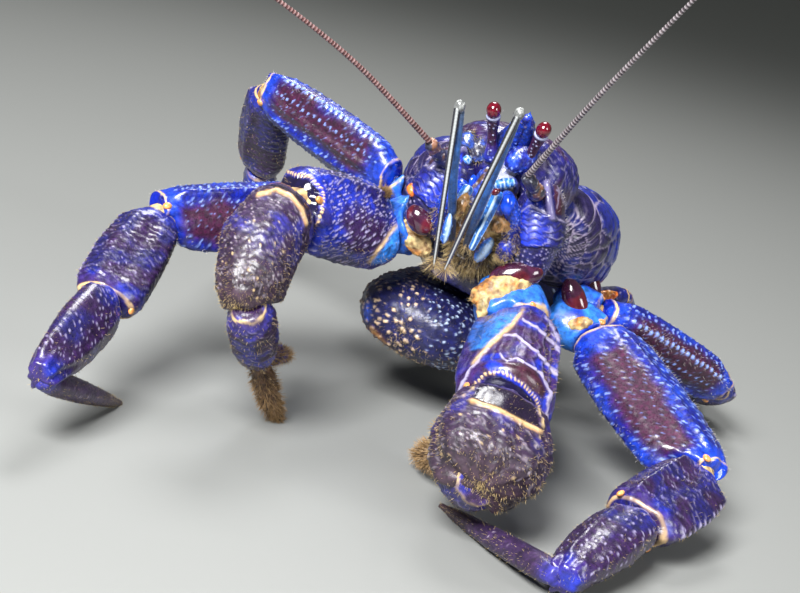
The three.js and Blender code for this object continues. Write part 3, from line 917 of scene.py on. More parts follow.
def dashes(plate, size, shape, angle, height, where, share, seed):
    """Pale oblique dashes: spacing and half size in mm, angle in degrees."""
    turn = math.radians(angle)
    x = plate.s * math.cos(turn) + plate.arc * math.sin(turn)
    y = plate.arc * math.cos(turn) - plate.s * math.sin(turn)
    near, _, draw = cells(x, y, size, shape, seed=seed)
    bump = hump(np.minimum(near, 1), 1.0) * (draw < share) * where
    plate.height += height * bump
    mask(plate, "mark", rise(bump, 0.15, 0.7) * (0.45 + 0.55 * (draw * 5 % 1)))
    # Painted shade in a ring round the foot of each raised dash.
    mask(plate, "dark", 0.5 * rise(near, 1.0, 1.25) * (1 - rise(near, 1.25, 1.9)) * where * (draw < share))


def granules(plate, size, radius, height, where, share, seed, pale=0.7, key="mark"):
    """Round granules: spacing, radius and height in mm, share of places and share of pale ones."""
    near, following, draw = lumps(plate.points, size, seed)
    bump = hump(np.minimum(near * size / radius, 1), 1.0) * (draw < share) * where
    plate.height += height * bump * (0.6 + 0.8 * draw)
    mask(plate, key, rise(bump, 0.2, 0.7) * (draw * 7 % 1 < pale) * (0.55 + 0.45 * draw))
    # Painted shade in the low gaps between the granules.
    mask(plate, "dark", 0.5 * (1 - rise(following - near, 0.05, 0.4)) * where)


def terraces(plate, spacing, waves, height, where, seed, pale):
    """Wavy steps that run along the plate, each with a pale crest."""
    wobble = (clouds(plate.points, 7.0, seed) - 0.5) * 2 * waves
    wobble = wobble + (clouds(plate.points, 2.5, seed + 1) - 0.5) * waves
    place = plate.arc / spacing + wobble
    step = place - np.floor(place)
    plate.height += height * (step ** 1.5 - 0.5) * where
    crests = pale * rise(step, PALE_CREST - 0.12, PALE_CREST + 0.03)
    mask(plate, "mark", crests * (1 - rise(step, 0.97, 1.0)) * where)
    # Painted shade at the low foot of each step.
    mask(plate, "dark", 0.7 * (1 - rise(step, 0.05, 0.4)) * where)


def scales(plate, size, height, where, seed, pale):
    """Rows of rounded scales across the plate: length and width of a scale in mm."""
    around = max(3, round(2 * math.pi * plate.round / size[1]))
    column = plate.turn / (2 * math.pi) * around
    wobble = (clouds(plate.points, 3.0, seed) - 0.5) * 1.1
    place = plate.s / size[0] - 0.38 * np.abs(np.cos(math.pi * column)) + wobble
    step = place - np.floor(place)
    plate.height += height * (step ** 1.6 - 0.5) * where
    patchy = rise(clouds(plate.points, 2.2, seed + 2), 0.4, 0.6)
    mask(plate, "mark", pale * rise(step, 0.76, 0.9) * (1 - rise(step, 0.96, 1.0)) * where * patchy)
    # Painted shade at the low foot of each row of scales.
    mask(plate, "dark", 0.7 * (1 - rise(step, 0.03, 0.3)) * where)

# %% Knobs, crests and flat fronts


def knobs(plate, angle, spacing, size, height, where, seed=5):
    """A row of knobs along the plate at an angle round it."""
    count = np.floor(plate.s / spacing).astype(np.int64)
    across = apart(plate.turn, angle) * plate.round - (scatter(count, count * 0, seed) - 0.5) * 0.8
    near = np.hypot((plate.s / spacing - count - 0.5) * spacing, across) / size
    bump = hump(np.minimum(near, 1), 1.0) * where
    plate.height += height * bump
    mask(plate, "mark", rise(bump, 0.1, 0.6))


def crest(plate, angle, width, height, where=1.0):
    """A ridge along the plate at an angle round it."""
    ridge = np.exp(-(apart(plate.turn, angle) * plate.round / width) ** 2)
    plate.height += height * ridge * where


def flatten(plate, depth, half=1.15):
    """A flat front, half an angle wide to both sides, with an edge on each side of it."""
    inner = inland(plate, (3, 10), (3, 10))
    plate.height -= depth * np.exp(-(plate.face / (0.65 * half)) ** 2) * inner
    for side in (-1, 1):
        crest(plate, plate.front + side * half, 1.7, 0.8 * depth, inner)

# %% Rims, panels and roughness
BEAD_SPACING = 1.3


def rims(plate, start=None, end=None, wobble=0.5, key="cream"):
    """Pale beaded rims, start and end millimetres in from the plate's ends."""
    drift = (clouds(plate.points, 3.0, 31) - 0.5) * 2 * wobble
    beads = 0.7 + 0.3 * np.cos(plate.turn * plate.round * 2 * math.pi / BEAD_SPACING)
    worn = 0.35 + 0.65 * mottled(plate, 5.0, 32, 0.3, 0.6)
    for inset, place in ((start, plate.s), (end, plate.left)):
        if inset is None:
            continue
        gap = np.abs(place - inset + drift)
        bead = hump(np.minimum(gap / 0.5, 1), 1.0)
        plate.height += 0.3 * bead * beads
        mask(plate, key, rise(bead, 0.1, 0.6) * worn)
        beyond = rise(inset - place, 0.6, 1.4)
        plate.height -= 0.5 * beyond
        unmask(plate, beyond, "mark", "panel")
        mask(plate, "bright", 0.5 * hump(np.minimum((place - inset - 3.0) / 3.0, 1), 1.0) * (place > inset))
        mask(plate, "gloss", beyond)


def panel(plate, angle, width, start, end, amount=1.0):
    """A coloured field on the plate's front, and its edges' distances from the ends in mm."""
    drift = (clouds(plate.points, 6.0, 41) - 0.5)
    band = 1 - rise(np.abs(apart(plate.face, angle)) + 0.5 * drift, width - 0.25, width + 0.2)
    length = rise(plate.s + 6 * drift, start - 3, start + 4)
    length = length * rise(plate.left + 6 * drift, end - 3, end + 3)
    mask(plate, "panel", band * length * amount)
    return band * length


def roughen(plate, height=0.12, size=1.6, seed=6):
    """Small unevenness of a height and size in mm."""
    plate.height += height * (clouds(plate.points, size, seed) - 0.5) * 2


print(f"Beads every {BEAD_SPACING} mm on the rims")

# %% [markdown]
# ## Walking legs
# The second and third legs' long plates, the meri, are blue, with a dark red panel along their
# front and rows of pale dashes across it. Their upper edge has a row of pale knobs. Further out
# the plates are darker and granular, and the last one is a slim, finely dotted point. A table
# gives each plate of a leg its ornament and finish, so one loop builds all the legs. UP_SIDE and
# LOW_SIDE are the angles of a plate's upper and lower edge.

# %% Ornament of the walking legs
UP_SIDE = math.pi / 2
LOW_SIDE = -math.pi / 2
BROWN_SHARE = 0.6


def walking_merus(plate, size):
    band = panel(plate, 0.05, 0.75, 12 * size, 9 * size)
    flatten(plate, 1.6 * size)
    crest(plate, UP_SIDE, 2.8, 2.3 * size, rise(plate.s, 3, 12))
    crest(plate, UP_SIDE + 1.05, 1.8, 1.3 * size, inland(plate, (6, 14), (4, 10)))
    crest(plate, LOW_SIDE, 2.4, 1.6 * size, rise(plate.s, 3, 12))
    inner = inland(plate, (4, 9), (5, 9))
    dashed = inner * (1 - 0.55 * band)
    dashes(plate, (4.4 * size, 2.6 * size), (1.25 * size, 0.42), 38, 0.4, dashed, 0.85, seed=11)
    granules(plate, 1.9 * size, 0.45 * size, 0.2, inner, 0.6, seed=12, pale=0.3)
    knobs(plate, UP_SIDE, 3.0 * size, 0.95 * size, 0.6, inner)
    knobs(plate, UP_SIDE + 0.55, 3.4 * size, 0.7 * size, 0.4, inner, seed=9)
    knobs(plate, UP_SIDE - 0.55, 3.4 * size, 0.7 * size, 0.4, inner, seed=8)
    mask(plate, "bright", 0.6 * mottled(plate, 5.0, 3, 0.45, 0.7) * (1 - band))
    rims(plate, 3.0 * size, 2.5 * size)
    roughen(plate, 0.07, 1.2)


def walking_carpus(plate, size):
    flatten(plate, 1.3 * size, 0.95)
    crest(plate, UP_SIDE, 2.4, 1.9 * size, rise(plate.s, 3, 8))
    crest(plate, -0.4, 2.2, 1.2 * size, rise(plate.s, 3, 8))
    inner = inland(plate, (3, 6), (3, 6))
    scales(plate, (2.8 * size, 3.6 * size), 0.35, inner, seed=14, pale=0.25)
    granules(plate, 2.2 * size, 0.55 * size, 0.3, inner, 0.6, seed=15, pale=0.45)
    knobs(plate, UP_SIDE, 2.8 * size, 0.85 * size, 0.5, inner)
    mask(plate, "panel", BROWN_SHARE * rise(plate.s, 3, 12) * mottled(plate, 6.0, 12, 0.35, 0.6))
    rims(plate, 2.0 * size, 2.0 * size)
    roughen(plate)


def walking_propodus(plate, size):
    inner = inland(plate, (2, 5), (2, 5))
    flatten(plate, 1.0 * size, 0.95)
    crest(plate, UP_SIDE, 2.2, 1.6 * size, inland(plate, (3, 8), (2, 7)))
    crest(plate, LOW_SIDE, 2.0, 1.2 * size, inland(plate, (3, 8), (2, 7)))
    dashes(plate, (3.0 * size, 2.2 * size), (0.8 * size, 0.36), 25, 0.28, inner, 0.5, seed=17)
    granules(plate, 2.0 * size, 0.5 * size, 0.25, inner, 0.7, seed=18, pale=0.3)
    mask(plate, "panel", BROWN_SHARE * mottled(plate, 7.0, 19, 0.25, 0.55) * rise(plate.s, 4, 14))
    mask(plate, "bright", 0.8 * (1 - rise(plate.s, 3, 10)) + 0.6 * (1 - rise(plate.left, 2, 7)))
    rims(plate, 1.8 * size, None)
    roughen(plate)


def walking_dactyl(plate, size):
    granules(plate, 1.7 * size, 0.42 * size, 0.16, rise(plate.s, 1, 4), 0.8, seed=21, pale=0.25)
    mask(plate, "panel", rise(plate.part, 0.55, 0.9))
    mask(plate, "bright", 0.7 * (1 - rise(plate.s, 2, 8)))
    roughen(plate, 0.06, 1.0)


def coxa(plate, size):
    mask(plate, "bright", mottled(plate, 5.0, 22, 0.4, 0.7))
    rims(plate, None, 1.5)
    roughen(plate, 0.1, 2.0)


def back_leg_plate(plate):
    granules(plate, 2.0, 0.55, 0.25, inland(plate, (2, 4), (1, 4)), 0.8, seed=24)
    rims(plate, 1.5, 1.5)


LEG_SIZE = {"leg2_left": 1.0, "leg2_right": 0.88, "leg3_left": 0.88, "leg3_right": 0.86}
print("Sizes of the walking legs' ornament:", LEG_SIZE)

# %% Walking legs
# plate: its ornament, material and slot
WALKING_LOOK = {
    "coxa": (coxa, SKY_SHELL, "joint"),
    "merus": (walking_merus, BLUE_SHELL, "shell"),
    "carpus": (walking_carpus, VIOLET_SHELL, "shell"),
    "propodus": (walking_propodus, VIOLET_SHELL, "shell"),
    "dactyl": (walking_dactyl, BROWN_SHELL, "claw"),
}
BACK_LEG_LOOK = {
    "merus": (VIOLET_SHELL, "shell"),
    "carpus": (VIOLET_SHELL, "shell"),
    "hand": (BROWN_SHELL, "claw"),
}
plates = {}

for leg, size in LEG_SIZE.items():
    for name, start, end, up in limb_frames(leg):
        node = f"{leg}_{name}"
        plate = wrap(node + "_shell", [node], start, end, up, caps=(0.35, 0.35))
        ornament, material, slot = WALKING_LOOK[name]
        ornament(plate, size)
        plates[node] = finish(plate, material, slot, [node])

for leg in ("leg4_left", "leg4_right"):
    for name, start, end, up in limb_frames(leg):
        node = f"{leg}_{name}"
        plate = wrap(node + "_shell", [node], start, end, up, caps=(0.4, 0.5), spacing=0.5)
        back_leg_plate(plate)
        plates[node] = finish(plate, *BACK_LEG_LOOK[name], [node])
print(f"{len(pieces_made)} leg plates")

# %% [markdown]
# ## Claws
# The two claws hang folded in front of the body, the left one larger. Their long plate, the
# merus, has a dark red and violet face, crossed by pale ridges on the left claw and by dashes on
# the right one. The next plate, the wrist, is brown and granular and turns on a glossy dark dome.
# The fingers are brown. The ridges and the dome are one of a kind, so they are drawn from lines
# in the picture's pixels, and only on the side that the picture shows.

# %% Lines on the claws
LEFT_CLAW_LINES = (
    ((526, 298), (513, 315), (491, 336), (470, 369), (459, 393)),
    ((523, 315), (539, 325), (553, 343), (560, 366)),
    ((503, 331), (516, 330), (526, 338), (539, 350), (551, 368), (557, 393), (553, 426)),
    ((500, 350), (506, 358), (518, 353), (529, 361), (543, 373), (549, 393), (546, 419)),
    ((536, 290), (551, 310), (560, 340), (563, 376)),
    ((541, 301), (552, 326), (560, 360), (560, 393)),
)
LEFT_CLAW_RED = ((503, 360), (523, 358), (539, 370), (546, 390), (543, 398), (513, 376))
LEFT_CLAW_FACET = ((478, 296), (527, 294), (512, 317), (484, 345), (470, 350), (470, 310))
LEFT_CLAW_SEAM = ((530, 295), (512, 319), (484, 346), (472, 362))
LEFT_CLAW_BLUE = ((490, 350), (510, 374), (543, 400), (540, 406), (505, 384), (484, 366))
LEFT_CLAW_SPLIT = (545, 330)
RIGHT_CLAW_FACET = ((408, 188), (430, 250), (412, 274), (370, 274), (370, 264), (387, 244), (401, 221))
RIGHT_CLAW_SEAM = ((407, 188), (401, 221), (387, 244), (370, 263))
RIGHT_CLAW_HAIR = ((374, 160), (404, 165), (404, 202), (386, 196))
# Outline of the dome, line of its lower rim and line of its beaded upper edge.
LEFT_WRIST = (
    ((471, 398), (486, 377), (500, 376), (519, 386), (534, 401), (540, 427), (519, 421), (478, 403)),
    ((472, 401), (495, 408), (519, 421), (541, 432)),
    ((464, 397), (484, 374), (502, 372), (520, 382), (536, 399), (544, 428)),
)
RIGHT_WRIST = (
    ((267, 185), (288, 176), (309, 180), (320, 192), (318, 210), (309, 230), (304, 221), (301, 207),
     (290, 192)),
    ((258, 195), (277, 190), (291, 196), (302, 210), (306, 224)),
    ((266, 182), (288, 173), (310, 177), (324, 191), (322, 212), (312, 233)),
)
print(f"{len(LEFT_CLAW_LINES)} ridges on the left claw")

# %% Ornament of the claws


def claw_ischium(plate, size):
    mask(plate, "bright", 0.5 * mottled(plate, 6.0, 25, 0.4, 0.7))
    rims(plate, None, 2.0, wobble=0.3)
    roughen(plate, 0.1, 2.0)


def claw_carpus(plate, size):
    inner = inland(plate, (2, 5), (1, 4))
    scales(plate, (3.4 * size, 4.2 * size), 0.4 * size, inner, seed=26, pale=0.3)
    outer = inner * rise(plate.part, 0.2, 0.6)
    granules(plate, 2.4 * size, 0.7 * size, 0.45, outer, 0.8, seed=27, pale=0.3, key="cream")
    granules(plate, 1.7 * size, 0.5 * size, 0.25, inner, 0.8, seed=28, pale=0.4)
    mask(plate, "bright", 0.8 * mottled(plate, 5.0, 29, 0.5, 0.75)
         * (1 - rise(plate.part, 0.3, 0.9)))
    mask(plate, "panel", 0.8 * rise(plate.part, 0.5, 0.95))
    rims(plate, 1.6, None, key="orange")
    roughen(plate, 0.2, 1.5)


def left_claw_merus(plate, size):
    spots = plate.pixel
    inner = inland(plate, (3, 7), (6, 10))
    flatten(plate, 1.8, 1.25)
    across, down = LEFT_CLAW_SPLIT
    right_part = rise(spots[:, 0] - across + 0.35 * (spots[:, 1] - down), -12, 8)
    terraces(plate, 2.9, 0.5, 0.6, inner * (0.35 + 0.65 * right_part), seed=33, pale=0.28)
    for line in LEFT_CLAW_LINES:
        gap = line_distance(spots + (clouds(plate.points, 1.6, 34)[:, None] - 0.5) * 3, line)
        ridge = np.exp(-(gap / 1.6) ** 2) * plate.seen
        plate.height += 0.45 * ridge
        mask(plate, "mark", rise(ridge, 0.25, 0.8))
        mask(plate, "bright", 0.8 * np.exp(-((gap - 4) / 3) ** 2) * plate.seen)
    red = patch(spots, LEFT_CLAW_RED, 5) * plate.seen
    unmask(plate, red, "bright")
    mask(plate, "panel", red)
    mask(plate, "panel", 0.8 * (1 - patch(spots, LEFT_CLAW_BLUE, 6)) * plate.seen * rise(plate.s, 6, 16)
         * mottled(plate, 5.0, 42, 0.2, 0.5))
    mask(plate, "bright", patch(spots, LEFT_CLAW_BLUE, 6) * plate.seen)
    rims(plate, 2.5, None)
    facet = patch(spots, LEFT_CLAW_FACET, 3) * plate.seen
    unmask(plate, facet, "mark", "panel", "bright", "dark", "cream")
    mask(plate, "sky", facet)
    mask(plate, "cream", 0.9 * stroke(spots, LEFT_CLAW_SEAM, 2.0) * plate.seen)
    paint_wrist(plate, *LEFT_WRIST)


def paint_wrist(plate, outline, rim, edge):
    """The glossy dark dome on which a claw's wrist turns, with its two pale rims."""
    spots = plate.pixel + (clouds(plate.points, 1.5, 44)[:, None] - 0.5) * 2
    dome = patch(spots, outline, 2) * plate.seen
    unmask(plate, dome, "mark", "panel", "bright", "cream", "orange", "sky")
    plate.height *= 1 - dome
    mask(plate, "dark", 0.85 * dome)
    mask(plate, "gloss", dome)
    lower = stroke(spots, rim, 1.9) * plate.seen
    plate.height += 0.6 * lower
    mask(plate, "cream", lower)
    mask(plate, "orange", 0.5 * rise(lower, 0.1, 0.5) * (1 - rise(lower, 0.5, 0.9)))
    upper = stroke(spots, edge, 1.7) * plate.seen
    beads = 0.6 + 0.4 * np.cos(plate.turn * plate.round * 2 * math.pi / 1.5)
    plate.height += 0.6 * upper * beads
    mask(plate, "cream", 0.9 * rise(upper * beads, 0.25, 0.6))


def right_claw_merus(plate, size):
    inner = inland(plate, (3, 7), (4, 9))
    dashes(plate, (3.6, 1.9), (1.5, 0.38), 30, 0.35, inner, 0.85, seed=35)
    dashes(plate, (2.4, 1.6), (0.7, 0.3), 30, 0.2, inner, 0.6, seed=36)
    band = panel(plate, 0.2, 0.6, 12, 14, 0.6)
    flatten(plate, 1.8, 1.25)
    blue = 0.7 * rise(plate.s, 4, 14) * (1 - band)
    mask(plate, "bright", blue * mottled(plate, 6.0, 37, 0.35, 0.6))
    crest(plate, UP_SIDE, 2.5, 0.8)
    knobs(plate, UP_SIDE, 2.6, 0.9, 0.6, inner)
    rims(plate, 2.5, None)
    roughen(plate)
    facet = patch(plate.pixel, RIGHT_CLAW_FACET, 3) * plate.seen
    unmask(plate, facet, "mark", "panel", "bright", "dark", "cream")
    mask(plate, "sky", facet)
    mask(plate, "cream", 0.9 * stroke(plate.pixel, RIGHT_CLAW_SEAM, 1.8) * plate.seen)
    paint_wrist(plate, *RIGHT_WRIST)


def palm(plate, size):
    inner = rise(plate.s, 2, 5)
    scales(plate, (2.6, 3.2), 0.35, inner, seed=38, pale=0.3)
    granules(plate, 1.7, 0.5, 0.3, inner, 0.8, seed=43, pale=0.35)
    mask(plate, "bright", 0.8 * mottled(plate, 5.0, 39, 0.45, 0.65))
    rims(plate, 1.6, None)
    roughen(plate, 0.15, 1.4)


def finger(plate):
    granules(plate, 1.7, 0.6, 0.3, 1.0, 0.95, seed=40, pale=0.35)
    mask(plate, "panel", rise(plate.part, 0.75, 1.0))
    roughen(plate, 0.15, 1.2)

# %% Claws
CLAW_SIZE = {"claw_left": 1.0, "claw_right": 0.8}
WRIST = {"claw_left": LEFT_WRIST, "claw_right": RIGHT_WRIST}
CLAW_MERUS = {"claw_left": left_claw_merus, "claw_right": right_claw_merus}
# Start and end of the moving finger, and the fixed finger's path.
FINGER_AXIS = {
    "claw_left": ((29, -56, 21), (12.5, -36, 4.5)),
    "claw_right": ((-46, -47, 17), (-36.5, -32, -7)),
}
THUMB = {
    "claw_left": ((29, -56, 21), (24, -42, 20), (15, -32, 14)),
    "claw_right": ((-46, -47, 17), (-44, -38, 17), (-41, -29, 15)),
}
THUMB_WIDTH = {"claw_left": 4.4 * 1.1, "claw_right": 4.4 * 0.8}


def wrist(plate, size):
    claw_carpus(plate, size)
    paint_wrist(plate, *WRIST[claw])


def merus(plate, size):
    CLAW_MERUS[claw](plate, size)


# plate: its ornament, material and slot
CLAW_LOOK = {
    "ischium": (claw_ischium, SKY_SHELL, "joint"),
    "merus": (merus, VIOLET_SHELL, "shell"),
    "carpus": (wrist, BROWN_SHELL, "claw"),
    "palm": (palm, BROWN_SHELL, "shell"),
}

for claw, size in CLAW_SIZE.items():
    for name, start, end, up in limb_frames(claw):
        node = f"{claw}_{name}"
        fine = 0.45 if name == "merus" else 0.55
        plate = wrap(node + "_shell", [node], start, end, up, spacing=fine, caps=(0.35, 0.4))
        ornament, material, slot = CLAW_LOOK[name]
        ornament(plate, size)
        plates[node] = finish(plate, material, slot, [node])
    node = f"{claw}_finger"
    start, end = FINGER_AXIS[claw]
    plate = wrap(node + "_shell", [node], start, end, (0, -1, 0.3), caps=(0.4, 1.2))
    finger(plate)
    plates[node] = finish(plate, FINGER_SHELL, "finger", [node])
    width = THUMB_WIDTH[claw]
    thumb = tube(f"{claw}_thumb_shell", THUMB[claw],
                 lambda t, turn: width * (1 - 0.75 * t ** 1.6) * (1 + 0.06 * np.cos(2 * turn)), (0, 0, 1))
    finger(thumb)
    plates[f"{claw}_thumb"] = finish(thumb, FINGER_SHELL, "finger")
print(f"{len(pieces_made)} plates with the claws")

# %% [markdown]
# ## The body's plates
# The shield covers the front and ends in a pointed beak between the eyes. Behind it the narrow
# heart region runs back between two swollen gill covers. The gill covers are patterned like
# cracked leather: dark plates with pale outlines, drawn out near the cheek into a fan of pale
# lines. The pattern is laid out round a point by the cheek, as distance and angle, so the same
# cells become long near the point and round further out. A pattern on the plate's own rows would
# be simpler, but it would run straight back and lose the fan.

# %% Ornament of the body
FAN_CENTRE = np.array([17.0, 22.0, 66.0])


def gill_cover(plate, side):
    flat = plate.points * np.array([side, 1, 1]) - FAN_CENTRE
    reach = np.linalg.norm(flat, axis=1)
    turn = np.arctan2(flat[:, 2], flat[:, 1] + 0.35 * flat[:, 0])
    warp = (clouds(plate.points, 6.0, 51) - 0.5)
    rows, rays = reach / 7.5 + 0.5 * warp, turn * 4.3 + 0.5 * warp
    near, following, draw = cells(rows, rays, (1, 1), seed=52, jitter=0.85)
    edge = following - near
    fan = 1 - rise(reach, 14, 30)
    plate.height += 0.7 * rise(edge, 0.0, 0.35) * (1 - 0.4 * fan)
    mask(plate, "mark", (1 - rise(edge, 0.03, 0.09)) * (0.8 + 0.2 * fan))
    lines = np.abs((turn * 9 + warp * 0.8) % 1 - 0.5)
    plate.height += 0.3 * (1 - rise(lines, 0.1, 0.3)) * fan
    mask(plate, "mark", (1 - rise(lines, 0.04, 0.12)) * fan)
    mask(plate, "dark", 0.5 * rise(lines, 0.12, 0.25) * fan)
    mask(plate, "bright", rise(draw, 0.5, 0.9) * 0.5 + 0.9 * rise(reach, 34, 50))
    mask(plate, "dark", 0.35 * rise(edge, 0.12, 0.2) * (1 - rise(edge, 0.2, 0.45)))
    roughen(plate, 0.08, 1.2)


def heart(plate):
    near, following, _ = cells(plate.s, plate.arc, (7.0, 7.0), seed=54)
    edge = following - near
    plate.height += 0.5 * rise(edge, 0.0, 0.3)
    mask(plate, "mark", 0.8 * (1 - rise(edge, 0.05, 0.14)))
    rims(plate, 1.5, 2.0)
    roughen(plate)


def shield(plate):
    level = plate.points
    near, following, _ = cells(level[:, 0], level[:, 1] + 0.4 * level[:, 2], (3.8, 3.8), seed=55)
    edge = following - near
    back = rise(level[:, 1], 4, 14)
    plate.height += 0.45 * rise(edge, 0.0, 0.3) * back
    mask(plate, "mark", 0.4 * (1 - rise(edge, 0.03, 0.10)) * back)
    mask(plate, "panel", 0.7 * mottled(plate, 5.0, 57, 0.4, 0.6) * back)
    granules(plate, 2.2, 0.7, 0.35, 1 - back, 0.9, seed=56, pale=0.4)
    mask(plate, "bright", 0.9 * (1 - rise(np.abs(level[:, 0]), 7, 12)) * (1 - rise(level[:, 1], 2, 12)))
    roughen(plate)


def horn(plate):
    tip = 1 - rise(plate.part, 0.75, 0.9)
    granules(plate, 1.7, 0.55, 0.35, tip, 0.8, seed=63, pale=0.35)
    mask(plate, "bright", 0.4 + 0.6 * mottled(plate, 3.0, 64, 0.35, 0.6))
    crest(plate, UP_SIDE, 1.2, 0.8)
    roughen(plate, 0.15, 1.2)


def horn_radius(t, turn):
    return HORN_WIDTH * (1 - t) ** 0.8 * (0.62 + 0.38 * np.abs(np.cos(turn))) + 0.5


print("The fan of lines starts at", FAN_CENTRE.tolist(), "mm")

# %% Gill covers, heart region, shield and rostrum
SIDES = {"left": 1, "right": -1}
HORN = ((0, 13, 101), (3.4, -6.5, 116.5))
HORN_WIDTH = 7.5
UPWARDS = (0, 0, 1)
FORWARDS = (0, -1, 0)

for word, side in SIDES.items():
    node = f"gill_cover_{word}"
    plate = wrap(node + "_shell", [node], (side * 17, 28, 74), (side * 16, 94, 58), UPWARDS, spacing=0.6,
                 caps=(0.6, 0.6), blur=1.5)
    gill_cover(plate, side)
    plates[node] = finish(plate, DOME_SHELL, "shell", [node])
plate = wrap("heart_region_shell", ["heart_region"], (0, 31.5, 82), (0, 94, 61), UPWARDS, caps=(0.2, 0.4))
heart(plate)
plates["heart_region"] = finish(plate, DOME_SHELL, "shell", ["heart_region"])
plate = wrap("shield_shell", ["shield"], (0, 8, 96), (0, 31, 91), UPWARDS, caps=(0.35, 0.15), spacing=0.5)
shield(plate)
plates["shield"] = finish(plate, VIOLET_SHELL, "shell", ["shield"])
plate = tube("rostrum", HORN, horn_radius, UPWARDS, spacing=0.4, caps=(0.3, 1.5))
horn(plate)
plates["rostrum"] = finish(plate, BLUE_SHELL, "shell")
print(f"{len(pieces_made)} plates with the body")

# %% [markdown]
# ## The face
# The face is a stack of small plates. A glossy lavender pillar runs down each cheek, with a blue
# triangle in front of it, a plate of crescent scales below and a field of violet granules at the
# bottom. Their outlines are given where they lie in the picture, in pixels, for the left side,
# and each point of the right side looks up the place of its mirror image. Modelling each small
# plate as a piece of its own was the other way, but they are fused on the animal.

# %% Outlines on the cheeks
PILLAR = ((546, 181), (548, 198), (551, 217))
NOTCH = ((538, 179), (552, 174), (568, 171))
TRIANGLE = ((518, 212), (530, 197), (542, 186), (543, 212))
CRESCENTS = ((517, 216), (532, 208), (547, 215), (566, 223), (563, 248), (521, 247))
VIOLET_FIELD = ((517, 247), (563, 249), (579, 272), (545, 278), (519, 264))
WHITE_BORDER = ((518, 214), (532, 206), (547, 214), (566, 223))
UPPER_PLATE = ((538, 146), (552, 143), (566, 168), (543, 176))
UPPER_EDGE = ((551, 144), (559, 156), (566, 168))
BACK_EDGE = ((567, 182), (570, 200), (574, 225), (576, 258))
VEINS = (
    ((556, 179), (560, 193), (557, 208)),
    ((563, 180), (562, 196), (566, 209)),
    ((557, 190), (567, 198)),
)
VEIN_FIELD = ((553, 178), (567, 177), (569, 214), (555, 216))
# Where the blue of the crescents ends, and both sides of the upper plate begin, across the picture.
CRESCENT_BLUE_ENDS = (530, 560)
UPPER_VIOLET_STARTS = (545, 556)
UPPER_PALE_ENDS = (543, 550)
print(f"{len(VEINS)} veins on each cheek")

# %% Painting the cheeks


def mirrored_pixels(plate, side):
    return pixels(plate.points * np.array([side, 1.0, 1.0]))


def paint_cheek_plates(plate, spots, wavy):
    """Granules, crescents and veins of a cheek's small plates."""
    fields = sum(patch(wavy, outline, 2) for outline in (TRIANGLE, CRESCENTS, VIOLET_FIELD, VEIN_FIELD))
    granules(plate, 1.5, 0.5, 0.3, 1 - np.clip(fields, 0, 1), 0.8, seed=72, pale=0.35)
    triangle = patch(wavy, TRIANGLE, 2)
    granules(plate, 1.3, 0.5, 0.35, triangle, 0.9, seed=73, pale=0.5)
    mask(plate, "bright", triangle)
    crescents = patch(wavy, CRESCENTS, 2)
    plate.height += 0.6 * crescents
    row = spots[:, 1] / 6.5 + 0.5 * np.abs(np.sin(spots[:, 0] / 4.2))
    row = row + (clouds(plate.points, 2.5, 74) - 0.5) * 0.8
    step = row - np.floor(row)
    plate.height += 0.4 * step * crescents
    mask(plate, "bright", crescents * (1 - rise(spots[:, 0], *CRESCENT_BLUE_ENDS)))
    crescent_line = rise(step, 0.75, 0.9) * (1 - rise(step, 0.95, 1.0))
    mask(plate, "mark", 0.6 * crescents * crescent_line * mottled(plate, 1.6, 75, 0.35, 0.6))
    # Painted shade at the low foot of each crescent.
    mask(plate, "dark", 0.6 * crescents * (1 - rise(step, 0.02, 0.3)))
    violet = patch(wavy, VIOLET_FIELD, 3)
    granules(plate, 1.25, 0.5, 0.35, violet, 0.95, seed=76, pale=0.9)
    veins = patch(wavy, VEIN_FIELD, 3)
    mask(plate, "panel", veins)
    for vein in VEINS:
        mask(plate, "mark", 0.55 * stroke(wavy, vein, 1.0))
    upper = patch(wavy, UPPER_PLATE, 3)
    mask(plate, "panel", upper * rise(spots[:, 0], *UPPER_VIOLET_STARTS) * 0.8)
    mask(plate, "mark", 0.5 * upper * (1 - rise(spots[:, 0], *UPPER_PALE_ENDS)))


def paint_cheek_edges(plate, spots, wavy):
    """The pale borders, the grooves with painted shade in them, and the glossy pillar of a cheek."""
    for line in (WHITE_BORDER, UPPER_EDGE):
        edge = stroke(wavy, line, 1.2)
        plate.height += 0.5 * edge
        mask(plate, "mark", 0.8 * edge)
    back = stroke(wavy, BACK_EDGE, 2.2)
    beads = 0.5 + 0.5 * np.cos(spots[:, 1] * 1.6)
    plate.height += 0.8 * back * beads
    mask(plate, "mark", 0.75 * back * rise(beads, 0.4, 0.8))
    # The notch is cut in, and painted shade fills it.
    notch = stroke(spots, NOTCH, 1.8)
    plate.height -= 1.2 * notch
    mask(plate, "dark", notch)
    # Each seam is cut in as a groove with painted shade in it.
    for outline in (CRESCENTS, VIOLET_FIELD, UPPER_PLATE):
        seam = stroke(wavy, (*outline[1:], outline[0]), 1.3)
        plate.height -= 0.5 * seam
        mask(plate, "dark", 0.8 * seam)
    pillar = stroke(spots, PILLAR, 4.0)
    unmask(plate, rise(pillar, 0.2, 0.5), "mark", "dark", "panel", "bright")
    plate.height += 1.3 * pillar
    mask(plate, "mark", 0.42 * rise(pillar, 0.3, 0.9))
    mask(plate, "gloss", pillar)


for word, side in SIDES.items():
    node = f"cheek_{word}"
    plate = wrap(node + "_shell", [node], (side * 17, 6, 60), (side * 14, 4, 93), FORWARDS, spacing=0.35,
                 caps=(0.4, 0.4))
    spots = mirrored_pixels(plate, side)
    wavy = spots + (clouds(plate.points, 1.5, 71)[:, None] - 0.5) * 2.5
    paint_cheek_plates(plate, spots, wavy)
    paint_cheek_edges(plate, spots, wavy)
    plates[node] = finish(plate, VIOLET_SHELL, "shell", [node])
print(f"{len(pieces_made)} plates with the cheeks")

